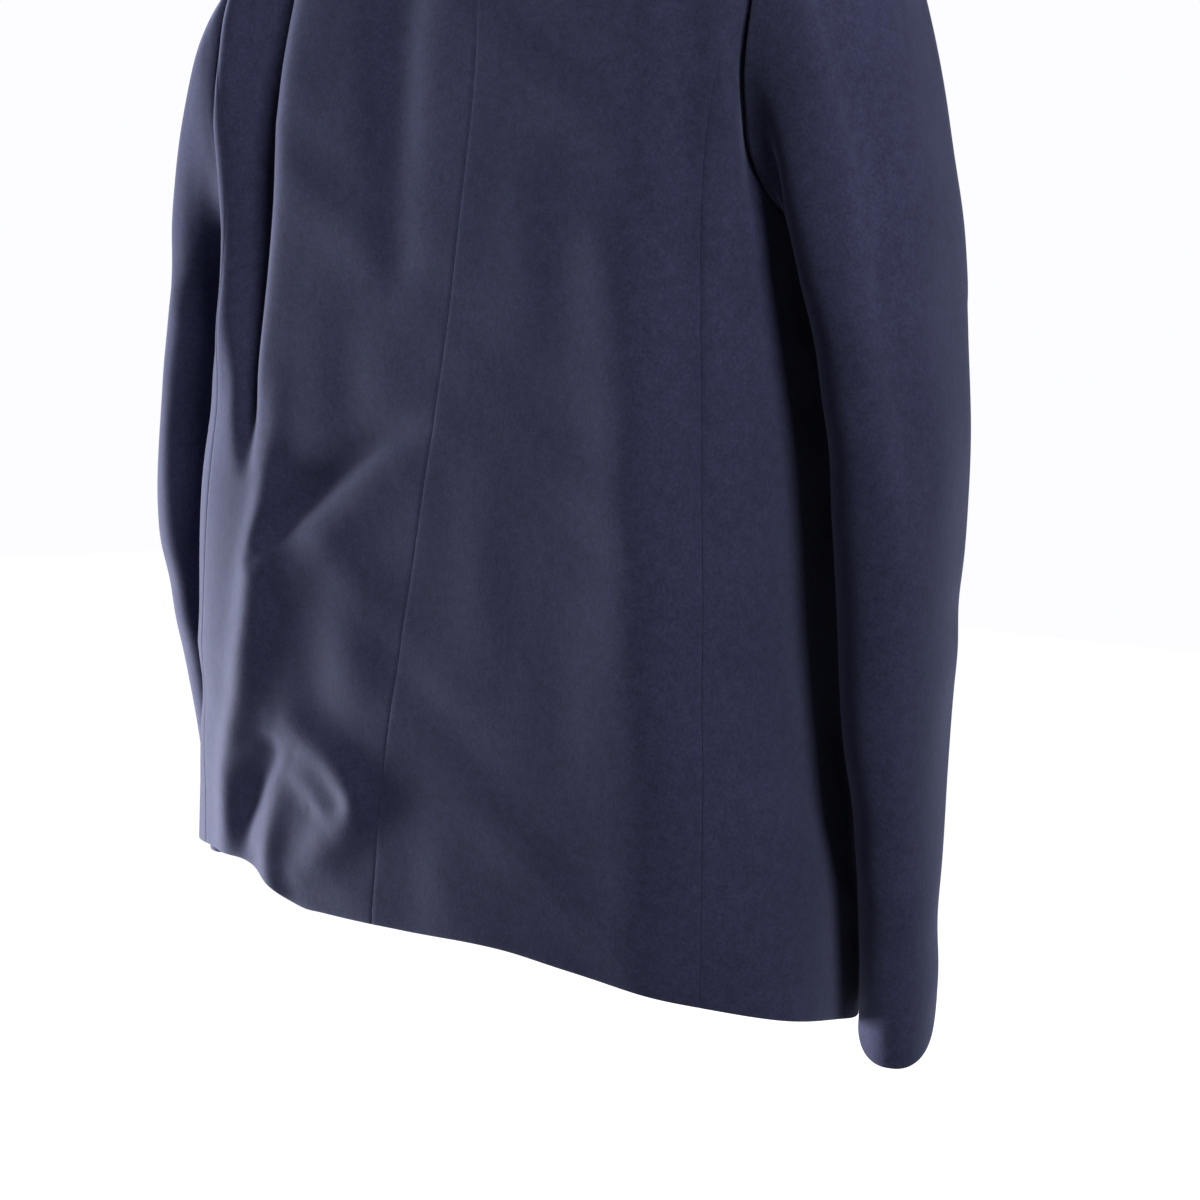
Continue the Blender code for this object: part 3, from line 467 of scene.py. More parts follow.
nap = bpy.data.node_groups.new("matted nap", "ShaderNodeTree")
for socket, kind, value in (("Ground", "NodeSocketColor", (0.03, 0.03, 0.06, 1)),
                            ("Fibre", "NodeSocketColor", (0.06, 0.06, 0.11, 1)),
                            ("Grain Size", "NodeSocketFloat", 1.0)):
    nap.interface.new_socket(socket, in_out="INPUT", socket_type=kind).default_value = value
for socket, kind in (("Colour", "NodeSocketColor"), ("Roughness", "NodeSocketFloat"),
                     ("Height", "NodeSocketFloat")):
    nap.interface.new_socket(socket, in_out="OUTPUT", socket_type=kind)
nodes, links = nap.nodes, nap.links
given, result = nodes.new("NodeGroupInput"), nodes.new("NodeGroupOutput")
where = nodes.new("ShaderNodeTexCoord")


def grain_noise(scale, detail, stretch=(1, 1, 1), rough=0.5, distort=0.0):
    """A noise in object coordinates; scale is in grains for a metre."""
    stretched = nodes.new("ShaderNodeMapping")
    stretched.inputs["Scale"].default_value = stretch
    links.new(where.outputs["Object"], stretched.inputs["Vector"])
    grain = nodes.new("ShaderNodeTexNoise")
    set_inputs(grain, Scale=scale, Detail=detail, Roughness=rough, Distortion=distort)
    links.new(stretched.outputs["Vector"], grain.inputs["Vector"])
    return grain.outputs["Fac"]


def grain_math(operation, first, second):
    step = nodes.new("ShaderNodeMath")
    step.operation = operation
    for socket, value in zip(step.inputs, (first, second)):
        if isinstance(value, float):
            socket.default_value = value
        else:
            links.new(value, socket)
    return step.outputs[0]


def spread_range(value, low, high, to_low, to_high):
    ranged = nodes.new("ShaderNodeMapRange")
    links.new(value, ranged.inputs["Value"])
    set_inputs(ranged, From_Min=low, From_Max=high, To_Min=to_low, To_Max=to_high)
    return ranged.outputs["Result"]


pebble = grain_noise(620, 3, rough=0.6)
fibre = grain_noise(1500, 2, (1, 1, 0.28), rough=0.7, distort=1.2)
clump = grain_noise(170, 2, rough=0.55)
bloom = grain_noise(14, 3, rough=0.5)
grain = grain_math("ADD", grain_math("MULTIPLY", pebble, 0.6), grain_math("MULTIPLY", fibre, 0.4))
tone = nodes.new("ShaderNodeMix")
tone.data_type = "RGBA"
links.new(spread_range(grain, 0.36, 0.68, 0.0, 1.0), tone.inputs["Factor"])
links.new(given.outputs["Ground"], tone.inputs[6])
links.new(given.outputs["Fibre"], tone.inputs[7])
shade = nodes.new("ShaderNodeMix")
shade.data_type, shade.blend_type = "RGBA", "MULTIPLY"
shade.inputs["Factor"].default_value = 1.0
links.new(tone.outputs[2], shade.inputs[6])
links.new(grain_math("ADD", spread_range(clump, 0.3, 0.7, 0.86, 1.08),
                   spread_range(bloom, 0.3, 0.7, -0.08, 0.08)), shade.inputs[7])
links.new(shade.outputs[2], result.inputs["Colour"])
links.new(spread_range(grain, 0.35, 0.65, 0.86, 0.98), result.inputs["Roughness"])
links.new(grain_math("ADD", grain_math("MULTIPLY", grain, given.outputs["Grain Size"]),
                   grain_math("MULTIPLY", clump, 0.7)), result.inputs["Height"])


# The nap lies on a soft rough ground, with a sheen at grazing light.
navy_wool = bpy.data.materials.new("navy felted wool")
navy_wool.use_nodes = True
nodes, links = navy_wool.node_tree.nodes, navy_wool.node_tree.links
felt = nodes["Principled BSDF"]
set_inputs(felt, Specular_IOR_Level=0.12, Sheen_Weight=0.25, Sheen_Roughness=0.45,
           Sheen_Tint=(0.50, 0.55, 0.85, 1))
matted = nodes.new("ShaderNodeGroup")
matted.node_tree = nap
set_inputs(matted, Ground=(0.0205, 0.0215, 0.051, 1), Fibre=(0.038, 0.040, 0.086, 1))
relief = nodes.new("ShaderNodeBump")
set_inputs(relief, Strength=0.35, Distance=0.5 * MM)
links.new(matted.outputs["Height"], relief.inputs["Height"])
links.new(matted.outputs["Colour"], felt.inputs["Base Color"])
links.new(matted.outputs["Roughness"], felt.inputs["Roughness"])
links.new(relief.outputs["Normal"], felt.inputs["Normal"])


def grid_counts(wide, long):
    """How many points a piece of about this size has across and up."""
    return max(8, int(wide / WEAVE_STEP)), max(8, int(long / WEAVE_STEP))


for word in ("left", "right"):
    place = large_panel(word, 1, SIDE_BACK, ARMHOLE_BACK, CENTRE_BACK, 0.0, BACK_TOP[word])
    faces = cloth_faces(on_body(place), turned_edge, turned_edge, *grid_counts(*BACK_SIZE))
    back = cloth_piece(f"back_panel_{word}", faces, navy_wool, f"back_{word}")
    wide, long, area = flat_size(faces[0])

# ==========================================================
# The side panels.  One under each arm, from the back seam to the front seam, its top edge
# hollowed for the armhole.
# ==========================================================
SIDE_SIZE = (0.16, 0.45)
SIDE_FRONT = (  # height, distance out from the middle
    (-0.050, 0.1830), (0.100, 0.1740), (0.250, 0.1640), (0.425, 0.1630),
)
# Across the side panel from its back seam (0) to its front seam (1).
ARMHOLE_UNDER = (  # share, height
    (0.00, 0.508), (0.06, 0.474), (0.13, 0.434), (0.20, 0.410), (0.34, 0.396),
    (0.55, 0.392), (0.75, 0.396), (0.90, 0.408), (1.00, 0.425),
)


def side_panel(word):
    sign = 1 if word == "left" else -1

    def across(share, height):
        back = turn_at(sign * read(SIDE_BACK, 1, height), height, 1)
        front = turn_at(sign * read(SIDE_FRONT, 1, height), height, -1)
        front = front if sign > 0 else front - 2 * np.pi
        return back + share * (front - back)

    def place(share, climb):
        bottom = hem_height(across(share, np.zeros(share.shape)))
        height = bottom + climb * (read(ARMHOLE_UNDER, 1, share) - bottom)
        return across(share, height), height

    return place


for word in ("left", "right"):
    faces = cloth_faces(on_body(side_panel(word)), turned_edge, turned_edge,
                        *grid_counts(*SIDE_SIZE))
    side = cloth_piece(f"side_panel_{word}", faces, navy_wool, f"side_{word}")
    wide, long, area = flat_size(faces[0])

# ==========================================================
# The two fronts.  Plain, cut raw along the middle and the hem; the wearer's right one laps
# over the left one and buttons there.
# ==========================================================
LAP = 0.022                 # each front runs this far past the middle
LAP_MARGIN = 0.016          # the upper front lies raised this far past the lower one's edge
LAP_EASE = 0.034            # width over which it comes back down to the body
LAP_LIFT = CLOTH + 0.4 * MM
ARMHOLE_FRONT = (
    (0.425, 0.1630), (0.460, 0.1570), (0.500, 0.1540), (0.550, 0.1610), (0.600, 0.1800),
)
FRONT_TOP = (2 / 13, 8 / 13)
FRONT_SIZE = (0.23, 0.62)


def lap_lift(turn, height):
    """The wearer's right front rises over the left one at the middle."""
    x = plain_body(turn, height)[..., 0]
    return LAP_LIFT * smooth_step((x + LAP + LAP_MARGIN + LAP_EASE) / LAP_EASE)


for word in ("left", "right"):
    place = large_panel(word, -1, SIDE_FRONT, ARMHOLE_FRONT, None, LAP, FRONT_TOP)
    surface = on_body(place, lap_lift if word == "right" else None)
    faces = cloth_faces(surface, raw_edge, turned_edge, *grid_counts(*FRONT_SIZE))
    front = cloth_piece(f"front_panel_{word}", faces, navy_wool, f"front_{word}")
    wide, long, area = flat_size(faces[0])

# ==========================================================
# The sleeves.  Each is one piece, set into the armhole and sewn up under the arm; it hangs
# nearly straight, bends a little forward and is cut raw at the cuff.
# ==========================================================
# Below the armhole: height, distance out from the middle, distance back, half thickness,
# half width, turn of the width (degrees).
SLEEVE = {
    "left": (
        (-0.022, 0.2368, -0.066, 0.0190, 0.0580, 15.0),
        (0.050, 0.2356, -0.058, 0.0205, 0.0610, 14.0),
        (0.131, 0.2285, -0.037, 0.0245, 0.0670, 13.0),
        (0.206, 0.2245, -0.016, 0.0258, 0.0700, 15.0),
        (0.300, 0.2195, -0.011, 0.0282, 0.0740, 12.0),
        (0.365, 0.2200, -0.011, 0.0325, 0.0740, 5.0),
    ),
    "right": (
        (-0.022, 0.2348, -0.040, 0.0205, 0.0560, 16.0),
        (0.050, 0.2322, -0.036, 0.0215, 0.0590, 15.0),
        (0.131, 0.2291, -0.025, 0.0250, 0.0650, 10.0),
        (0.206, 0.2277, -0.015, 0.0285, 0.0690, 9.0),
        (0.300, 0.2245, -0.004, 0.0315, 0.0730, 5.0),
        (0.365, 0.2145, 0.000, 0.0320, 0.0730, 0.0),
    ),
}
SLEEVE_SIZE = (0.42, 0.62)
SLEEVE_SQUARENESS = 2.4     # exponent of the sleeve's level sections
CUFF_HEIGHT = {"left": -0.008, "right": -0.027}
CUFF_SLANT, SLANT_START, SLANT_LENGTH = 0.13, 0.10, 0.12   # its back hangs lower
CAP_REACH_TOP = {"left": 0.105, "right": 0.060}
CAP_REACH_UNDER = 0.024
CAP_PUFF = {"left": 0.030, "right": 0.060}      # out over its armhole, behind and before
# Below the shoulder blade the right sleeve rolls over its seam: turn around the sleeve,
# spread, height of the roll, and share of the sleeve's length in which it rises.
CAP_ROLL = (110.0, 24.0, 0.011, 0.022)
ROLL_END, ROLL_FADE = 0.55, 0.25    # it has died out at the first share from the cuff
CAP_DROP, CAP_RISE, CAP_LAND = 0.35, 0.60, 0.75
SLEEVE_GAP = 0.5 * MM
CAP_SHARE = 0.36            # share of the sleeve's length above the last row of SLEEVE
# Folds of the sleeves: turn around the sleeve (0 outer, 90 back, 180 under, 270 front) and
# height at the top, then at the bottom, spread in degrees, height of the ridge.
FOLD_BOTTOM, FOLD_TOP = (0.08, 0.3), (0.06, 0.2)    # each end's fade: length, share left
SEAM_SMOOTH = 0.05          # share of the length, under the armhole, without folds
SLEEVE_FOLDS = (
    ("back trough", 50.0, 0.600, 56.0, 0.250, 22.0, -0.006),
    ("front trough", 285.0, 0.345, 285.0, 0.150, 20.0, -0.005),
)


def arm_ring(word, around, height):
    """Points of the sleeve at a height: around is 0 outside, 90 degrees behind."""
    sign = 1 if word == "left" else -1
    out, back, thick, wide, turn = (read(SLEEVE[word], column, height) for column in range(1, 6))
    turn = np.radians(turn)
    across, along = (half * np.sign(part) * np.abs(part) ** (2 / SLEEVE_SQUARENESS)
                     for half, part in ((thick, np.cos(around)), (wide, np.sin(around))))
    x = out + across * np.cos(turn) + along * np.sin(turn)
    y = back - across * np.sin(turn) + along * np.cos(turn)
    slant = CUFF_SLANT * smooth_step((SLANT_START - height) / SLANT_LENGTH) * (y - back)
    return np.stack([sign * x, y, height - slant], -1)


ARMHOLE_POINTS = 240        # even ones; those read along each panel's edge are below
BACK_POINTS, UNDER_POINTS, FRONT_POINTS = 60, 80, 70


def armhole(word):
    """Even points along the armhole from its lowest one, forward, up, over and back."""
    sign = 1 if word == "left" else -1
    down = np.linspace(SHOULDER_TIP_HEIGHT, ARMHOLE_BACK[0][0], BACK_POINTS)
    back = (turn_at(sign * read(ARMHOLE_BACK, 1, down), down, 1), down)
    share = np.linspace(0, 1, UNDER_POINTS)[1:]
    panel = side_panel(word)(share, np.ones(share.shape))
    up = np.linspace(ARMHOLE_FRONT[0][0], SHOULDER_TIP_HEIGHT, FRONT_POINTS)[1:-1]
    front = (turn_at(sign * read(ARMHOLE_FRONT, 1, up), up, -1), up)
    if sign < 0:
        front = (front[0] - 2 * np.pi, up)
    turn, height = (np.concatenate([back[i], panel[i], front[i]]) for i in (0, 1))
    edge = body(turn, height)
    steps = np.linalg.norm(np.roll(edge, -1, 0) - edge, axis=1)
    along = np.concatenate([[0], np.cumsum(steps)])
    under = int(np.argmin(height))
    around = np.interp(along[:-1], [0, along[under], along[-1]], [0, np.pi, 2 * np.pi])
    tangent = unit(np.roll(edge, -1, 0) - np.roll(edge, 1, 0))
    normal = unit(body(turn, height, 1 * MM) - edge)
    into = unit(np.cross(normal, tangent))
    into *= np.sign(np.sum(into * (edge.mean(0) - edge), 1, keepdims=True))
    # Even places, counted from the seam under the arm.
    place = (np.pi + np.linspace(0, 2 * np.pi, ARMHOLE_POINTS)) % (2 * np.pi)
    place[-1] = np.pi

    def spread(values):
        closed = np.concatenate([values, values[:1]])
        at = np.concatenate([around, [2 * np.pi]])
        return np.stack([np.interp(place, at, closed[:, i]) for i in range(3)], -1)

    return place, spread(edge), unit(spread(normal)), unit(spread(into))


def sleeve_surface(word):
    sign = 1 if word == "left" else -1
    place, edge, normal, into = armhole(word)
    top_row = SLEEVE[word][-1][0]

    def ring_value(values, share):
        at = np.linspace(0, 1, len(values))
        return np.stack([np.interp(share % 1, at, values[:, i]) for i in range(3)], -1)

    def plain(share, climb):
        """climb runs from the cuff (0) to the armhole (1)."""
        around = np.pi + 2 * np.pi * share
        level = CUFF_HEIGHT[word] + (top_row - CUFF_HEIGHT[word]) * climb / (1 - CAP_SHARE)
        lower = arm_ring(word, around, np.minimum(level, top_row))
        topness = ((1 + np.cos(around)) / 2)[..., None]
        start = ring_value(edge, share) + SLEEVE_GAP * (
            ring_value(into, share) + (1 - topness) * ring_value(normal, share))
        reach = CAP_REACH_UNDER + (CAP_REACH_TOP[word] - CAP_REACH_UNDER) * topness
        leave = reach * unit(np.stack(
            [np.full(share.shape, float(sign)), np.zeros(share.shape),
             CAP_RISE - (CAP_RISE + CAP_DROP) * topness[..., 0]], -1))
        leave = leave + CAP_PUFF[word] * np.sin(around)[..., None] ** 2 * ring_value(normal, share)
        land = arm_ring(word, around, np.full(share.shape, top_row))
        fall = np.linalg.norm(land - start, axis=-1, keepdims=True)
        arrive = np.array([0.0, 0.0, -CAP_LAND]) * fall
        t = np.clip((1 - climb) / CAP_SHARE, 0, 1)[..., None]
        cap = curve(t, start, leave, land, arrive)
        return np.where((climb < 1 - CAP_SHARE)[..., None], lower, cap), around

    def facing_of(function, share, climb):
        step = 0.002
        across = function(share + step, climb) - function(share - step, climb)
        up = function(share, np.clip(climb + step, 0, 1)) - function(
            share, np.clip(climb - step, 0, 1))
        return unit(np.cross(across, up)) * sign

    def folded(share, climb):
        points, around = plain(share, climb)
        degrees = np.degrees(around) % 360
        level = points[..., 2]
        lift = ripple(points)
        for _, top_turn, top, end_turn, end, spread, rise in SLEEVE_FOLDS:
            along = np.clip((top - level) / (top - end), 0, 1)
            away = (degrees - (top_turn + (end_turn - top_turn) * along) + 180) % 360 - 180
            fade = (smooth_step((level - end) / FOLD_BOTTOM[0] + FOLD_BOTTOM[1])
                    * smooth_step((top - level) / FOLD_TOP[0] + FOLD_TOP[1]))
            lift = lift + rise * np.exp(-(away / spread) ** 2) * fade
        lift = lift * smooth_step((1 - climb) / SEAM_SMOOTH)
        if word == "right":
            at, spread, rise, rising = CAP_ROLL
            roll = (smooth_step((1 - climb) / rising)
                    * smooth_step((climb - ROLL_END) / ROLL_FADE))
            lift = lift + rise * roll * np.exp(-((degrees - at) / spread) ** 2)
        return points + lift[..., None] * facing_of(lambda s, c: plain(s, c)[0], share, climb)

    def surface(share, climb, out):
        return (folded(share, climb)
                + np.asarray(out)[..., None] * facing_of(folded, share, climb))

    return surface


for word in ("left", "right"):
    faces = cloth_faces(sleeve_surface(word), turned_edge, turned_edge,
                        *grid_counts(*SLEEVE_SIZE))
    sleeve = cloth_piece(f"sleeve_tube_{word}", faces, navy_wool, f"sleeve_{word}")
    wide, long, area = flat_size(faces[0])

# ==========================================================
# The collar.  One strip on the neck edge: it stands up, rolls over and falls back on the
# shoulders, with a corner at each side of the opening.
# ==========================================================
STAND_BACK, STAND_FRONT = 0.030, 0.019
ROLL_RADIUS = 3.6 * MM      # the fold, to the middle of the cloth
FALL_BACK, FALL_FRONT = 0.040, 0.052
FALL_SIDE = 0.036           # the fall reaches this far out past the neck's side
POINT_SPREAD = 0.022        # each collar point stands this far from the middle
COLLAR_END = 0.012          # it starts and ends at this angle off the middle (radians)
COLLAR_GAP = 0.5 * MM
STAND_LEAN, STAND_CURVE = 0.14, 0.35
FALL_BULGE = 0.12
FALL_CLEARANCE = 3.0 * MM   # middle of the fall's cloth above the body
STAND_ROWS, FALL_ROWS, NECK_POINTS = 11, 17, 34     # the last for each quarter of the neck
ROLL_ANGLES = np.radians([150, 120, 90, 60, 30, 0])
FINE_ROWS, FINE_COLUMNS = 60, 190


def neck_path(count):
    """The neck edge from right to left, and the fall's end: turn, height and lift of each."""
    rows = []
    spread_x = NECK_SIDE_X + FALL_SIDE
    spread_height = float(shoulder_line(spread_x))
    for sign, side, start, stop, ends in (
            (-1, -1, COLLAR_END, np.pi / 2, False), (-1, 1, np.pi / 2, 0, False),
            (1, 1, 0, np.pi / 2, False), (1, -1, np.pi / 2, COLLAR_END, True)):
        angles = np.linspace(start, stop, count + 1)[:None if ends else -1]
        share = np.sin(angles)
        x = sign * NECK_SIDE_X * share
        height = neck_edge(x, side)
        raised = smooth_step((LAP + LAP_MARGIN + LAP_EASE - np.abs(x)) / LAP_EASE)
        lift = LAP_LIFT * raised * (side < 0)
        if side > 0:
            end_x = sign * spread_x * share
            end_drop = spread_height - float(neck_edge(0, 1)) + FALL_BACK
        else:
            end_x = sign * (POINT_SPREAD + (spread_x - POINT_SPREAD) * share)
            end_drop = spread_height - float(neck_edge(0, -1)) + FALL_FRONT
        end_height = spread_height - end_drop * (1 - share**2)
        rows.append(np.stack([turn_at(x, height, side), height, lift * (sign < 0),
                              turn_at(end_x, end_height, side), end_height, lift], -1))
    return np.concatenate(rows).T


def collar_middle(count):
    """The middle of the collar's cloth: its stand, its rolled fold and its fall, row by row."""
    turn, height, lift, end_turn, end_height, end_lift = neck_path(count)
    edge = body(turn, height, lift - CLOTH / 2)
    end = body(end_turn, end_height, end_lift + FALL_CLEARANCE)
    up = np.array([0.0, 0.0, 1.0])
    along = np.gradient(edge, axis=0)
    along[0, 1:], along[-1, 1:] = 0, 0
    along = unit(along)
    outward = unit(np.cross(up, along))
    normal = unit(body(turn, height, lift) - edge)
    into_neck = unit(np.cross(normal, along))
    into_neck *= np.where(np.sum(into_neck * (up - outward), 1, keepdims=True) > 0, 1, -1)
    base = edge + COLLAR_GAP * into_neck
    front_share = smooth_step((np.abs(np.degrees(turn) % 360 - 180) - 180) / -90)[:, None]
    stand = STAND_BACK + (STAND_FRONT - STAND_BACK) * front_share
    top = base + stand * (up - STAND_LEAN * outward)
    rows = []
    for t in np.linspace(0, 1, STAND_ROWS):
        rows.append((1 - t) ** 3 * base + t**3 * top
                    + 3 * (1 - t) ** 2 * t * (base + STAND_CURVE * stand * into_neck)
                    + 3 * (1 - t) * t**2 * (top - STAND_CURVE * stand * up))
    for angle in ROLL_ANGLES:
        rows.append(top + ROLL_RADIUS * ((1 + np.cos(angle)) * outward + np.sin(angle) * up))
    rolled = rows[-1]
    width = np.linalg.norm(end - rolled, axis=1, keepdims=True)
    bend = (rolled + end) / 2 + FALL_BULGE * width * outward
    for t in np.linspace(0, 1, FALL_ROWS)[1:]:
        rows.append((1 - t) ** 2 * rolled + 2 * (1 - t) * t * bend + t**2 * end)
    middle = np.stack(rows)
    facing = unit(np.cross(np.gradient(middle, axis=0), np.gradient(middle, axis=1)))
    facing[0] = normal
    return middle, facing


collar_rows, collar_facing = collar_middle(NECK_POINTS)
# The strip's four edges are rounded over.
lengths = np.linalg.norm(np.diff(collar_rows, axis=0), axis=-1).mean(1)
row_place = np.concatenate([[0], np.cumsum(lengths)])
widths = np.linalg.norm(np.diff(collar_rows, axis=1), axis=-1).mean(0)
column_place = np.concatenate([[0], np.cumsum(widths)])
RIM_INSIDE = 1.6 * RAW_ROUND


def with_rims(places, count):
    """Finer places along the strip, close together at its ends, and the wall's share there."""
    inside = np.linspace(RIM_INSIDE, places[-1] - RIM_INSIDE, count)
    return (np.concatenate([RIM[:, 0], inside, places[-1] - RIM[::-1, 0]]),
            np.concatenate([RIM[:, 1], np.ones(count), RIM[::-1, 1]]))


fine_rows, row_half = with_rims(row_place, FINE_ROWS)
fine_columns, column_half = with_rims(column_place, FINE_COLUMNS)


def refined(grid):
    """The grid read smoothly at the fine rows and columns."""
    for coarse, fine in ((row_place, fine_rows), (column_place, fine_columns)):
        table = np.column_stack([coarse, grid.reshape(len(coarse), -1)])
        read_on = np.stack([read(table, 1 + i, fine) for i in range(table.shape[1] - 1)], -1)
        grid = read_on.reshape(len(fine), -1, 3).transpose(1, 0, 2)
    return grid


collar_rows, collar_facing = refined(collar_rows), unit(refined(collar_facing))
half = CLOTH / 2 * np.minimum(row_half[:, None], column_half)[..., None]
collar_faces = [collar_rows + half * collar_facing, collar_rows - half * collar_facing]
collar = cloth_piece("collar_strip", collar_faces, navy_wool, "collar")
wide, long, area = flat_size(collar_faces[0])

# ==========================================================
# The buttons.  Four plain dark horn buttons, each turned with a raised rim and drilled with
# four holes, sewn to the left front with navy thread and passed through a worked buttonhole
# in the right front.
# ==========================================================
BUTTON_RADIUS = 0.011
BUTTON_THICKNESS = 3.4 * MM
BUTTON_SEAT = 0.3 * MM
BUTTON_HEIGHTS = (0.500, 0.395, 0.290, 0.185)
BUTTON_PROFILE = (  # radius and height, in shares of the button's
    (0.0, 0.0), (0.60, 0.0), (0.86, 0.02), (0.95, 0.14), (1.0, 0.35), (1.0, 0.60), (0.97, 0.82),
    (0.91, 0.96), (0.85, 1.0), (0.78, 0.95), (0.72, 0.86), (0.64, 0.82), (0.30, 0.80), (0.0, 0.80),
)
BUTTON_TIP = 0.002          # share of the radius where the profile ends at the middle
BUTTON_FACE = 0.80 * BUTTON_THICKNESS
BUTTON_SIDES, HOLE_SIDES, THREAD_SIDES, PURL_SIDES = 48, 20, 8, 6
HOLE_OFFSET, HOLE_RADIUS, HOLE_DEPTH = 1.7 * MM, 0.9 * MM, 1.7 * MM
THREAD_RADIUS = 0.34 * MM
THREAD_SINK, THREAD_RISE = 0.9 * MM, 1.3 * MM   # into the holes, and up from there
BUTTONHOLE = (-0.0225, 0.0030)      # its two ends, to the wearer's left of the middle
PURL_STEP, PURL_REACH = 0.75 * MM, 1.5 * MM     # between its stitches, and their length
PURL_RADIUS, PURL_RISE = 0.20 * MM, 0.35 * MM
PURL_GAP = 0.12 * MM        # from the slit to its stitches, and of their ends into the cloth
PURL_START, PURL_TURN = 0.08, 0.84              # part of a half circle that a stitch takes
BAR_REACH, BAR_THREADS = 0.8 * PURL_REACH, (-1.2, 0.0, 1.2)


def two_tones(tree, value, start, end, colours):
    """A ramp between two colours, read at a value."""
    ramp = tree.nodes.new("ShaderNodeValToRGB")
    for element, at, colour in zip(ramp.color_ramp.elements, (start, end), colours):
        element.position, element.color = at, (*colour, 1)
    tree.links.new(value, ramp.inputs["Fac"])
    return ramp.outputs["Color"]


# Horn: dark, with paler streaks along its grain, polished.
horn = bpy.data.materials.new("dark horn")
horn.use_nodes = True
nodes, links = horn.node_tree.nodes, horn.node_tree.links
polished = nodes["Principled BSDF"]
set_inputs(polished, Coat_Weight=0.25, Coat_Roughness=0.15)
where = nodes.new("ShaderNodeTexCoord")
streaks = grain_noise(90.0, 6.0, (1.0, 1.0, 5.0), rough=0.6, distort=1.4)
links.new(two_tones(horn.node_tree, streaks, 0.35, 0.75,
                    ((0.008, 0.008, 0.014), (0.040, 0.034, 0.038))), polished.inputs["Base Color"])
links.new(spread_range(streaks, 0.3, 0.7, 0.24, 0.42), polished.inputs["Roughness"])

# Thread: its plies show as fine dark and light grain.
thread = bpy.data.materials.new("navy thread")
thread.use_nodes = True
nodes, links = thread.node_tree.nodes, thread.node_tree.links
twisted = nodes["Principled BSDF"]
set_inputs(twisted, Sheen_Weight=0.2, Roughness=0.6)
ply = nodes.new("ShaderNodeTexNoise")
set_inputs(ply, Scale=2600.0)
links.new(two_tones(thread.node_tree, ply.outputs["Fac"], 0.3, 0.7,
                    ((0.012, 0.013, 0.032), (0.034, 0.036, 0.078))), twisted.inputs["Base Color"])
twist = nodes.new("ShaderNodeBump")
set_inputs(twist, Distance=0.1 * MM)
links.new(ply.outputs["Fac"], twist.inputs["Height"])
links.new(twist.outputs["Normal"], twisted.inputs["Normal"])


def closed_tube(start, rings, sides):
    """Faces that join rings of points, numbered from start, and close both ends."""
    last = start + (rings - 1) * sides
    faces = [list(range(start, start + sides))[::-1], list(range(last, last + sides))]
    for ring in range(start, last, sides):
        for i in range(sides):
            a, b = ring + i, ring + (i + 1) % sides
            faces.append([a, b, b + sides, a + sides])
    return faces


def turned(profile, centre, facing, level, across, sides):
    """Points and faces turned about an axis; profile gives radius and rise in metres."""
    around = np.linspace(0, 2 * np.pi, sides + 1)[:-1, None]
    points = np.concatenate([centre + rise * facing
                             + radius * (np.cos(around) * level + np.sin(around) * across)
                             for radius, rise in profile])
    return points, closed_tube(0, len(profile), sides)


def sewn(runs, radius, sides):
    """Points and faces of short lengths of thread, each a path and its sideways direction."""
    points, faces = [], []
    around = np.linspace(0, 2 * np.pi, sides + 1)[:-1, None]
    for path, sideways in runs:
        faces += closed_tube(len(points) * sides, len(path), sides)
        above = np.cross(sideways, unit(np.gradient(path, axis=0)))
        points += [at + radius * (np.cos(around) * sideways + np.sin(around) * up)
                   for at, up in zip(path, above)]
    return np.concatenate(points), faces


def right_front(turn, height):
    """Places on the raised right front, and which way it faces there."""
    surface = body(turn, height, LAP_LIFT)
    return surface - [0, 0, NECK_HEIGHT], unit(body(turn, height, LAP_LIFT + 1 * MM) - surface)


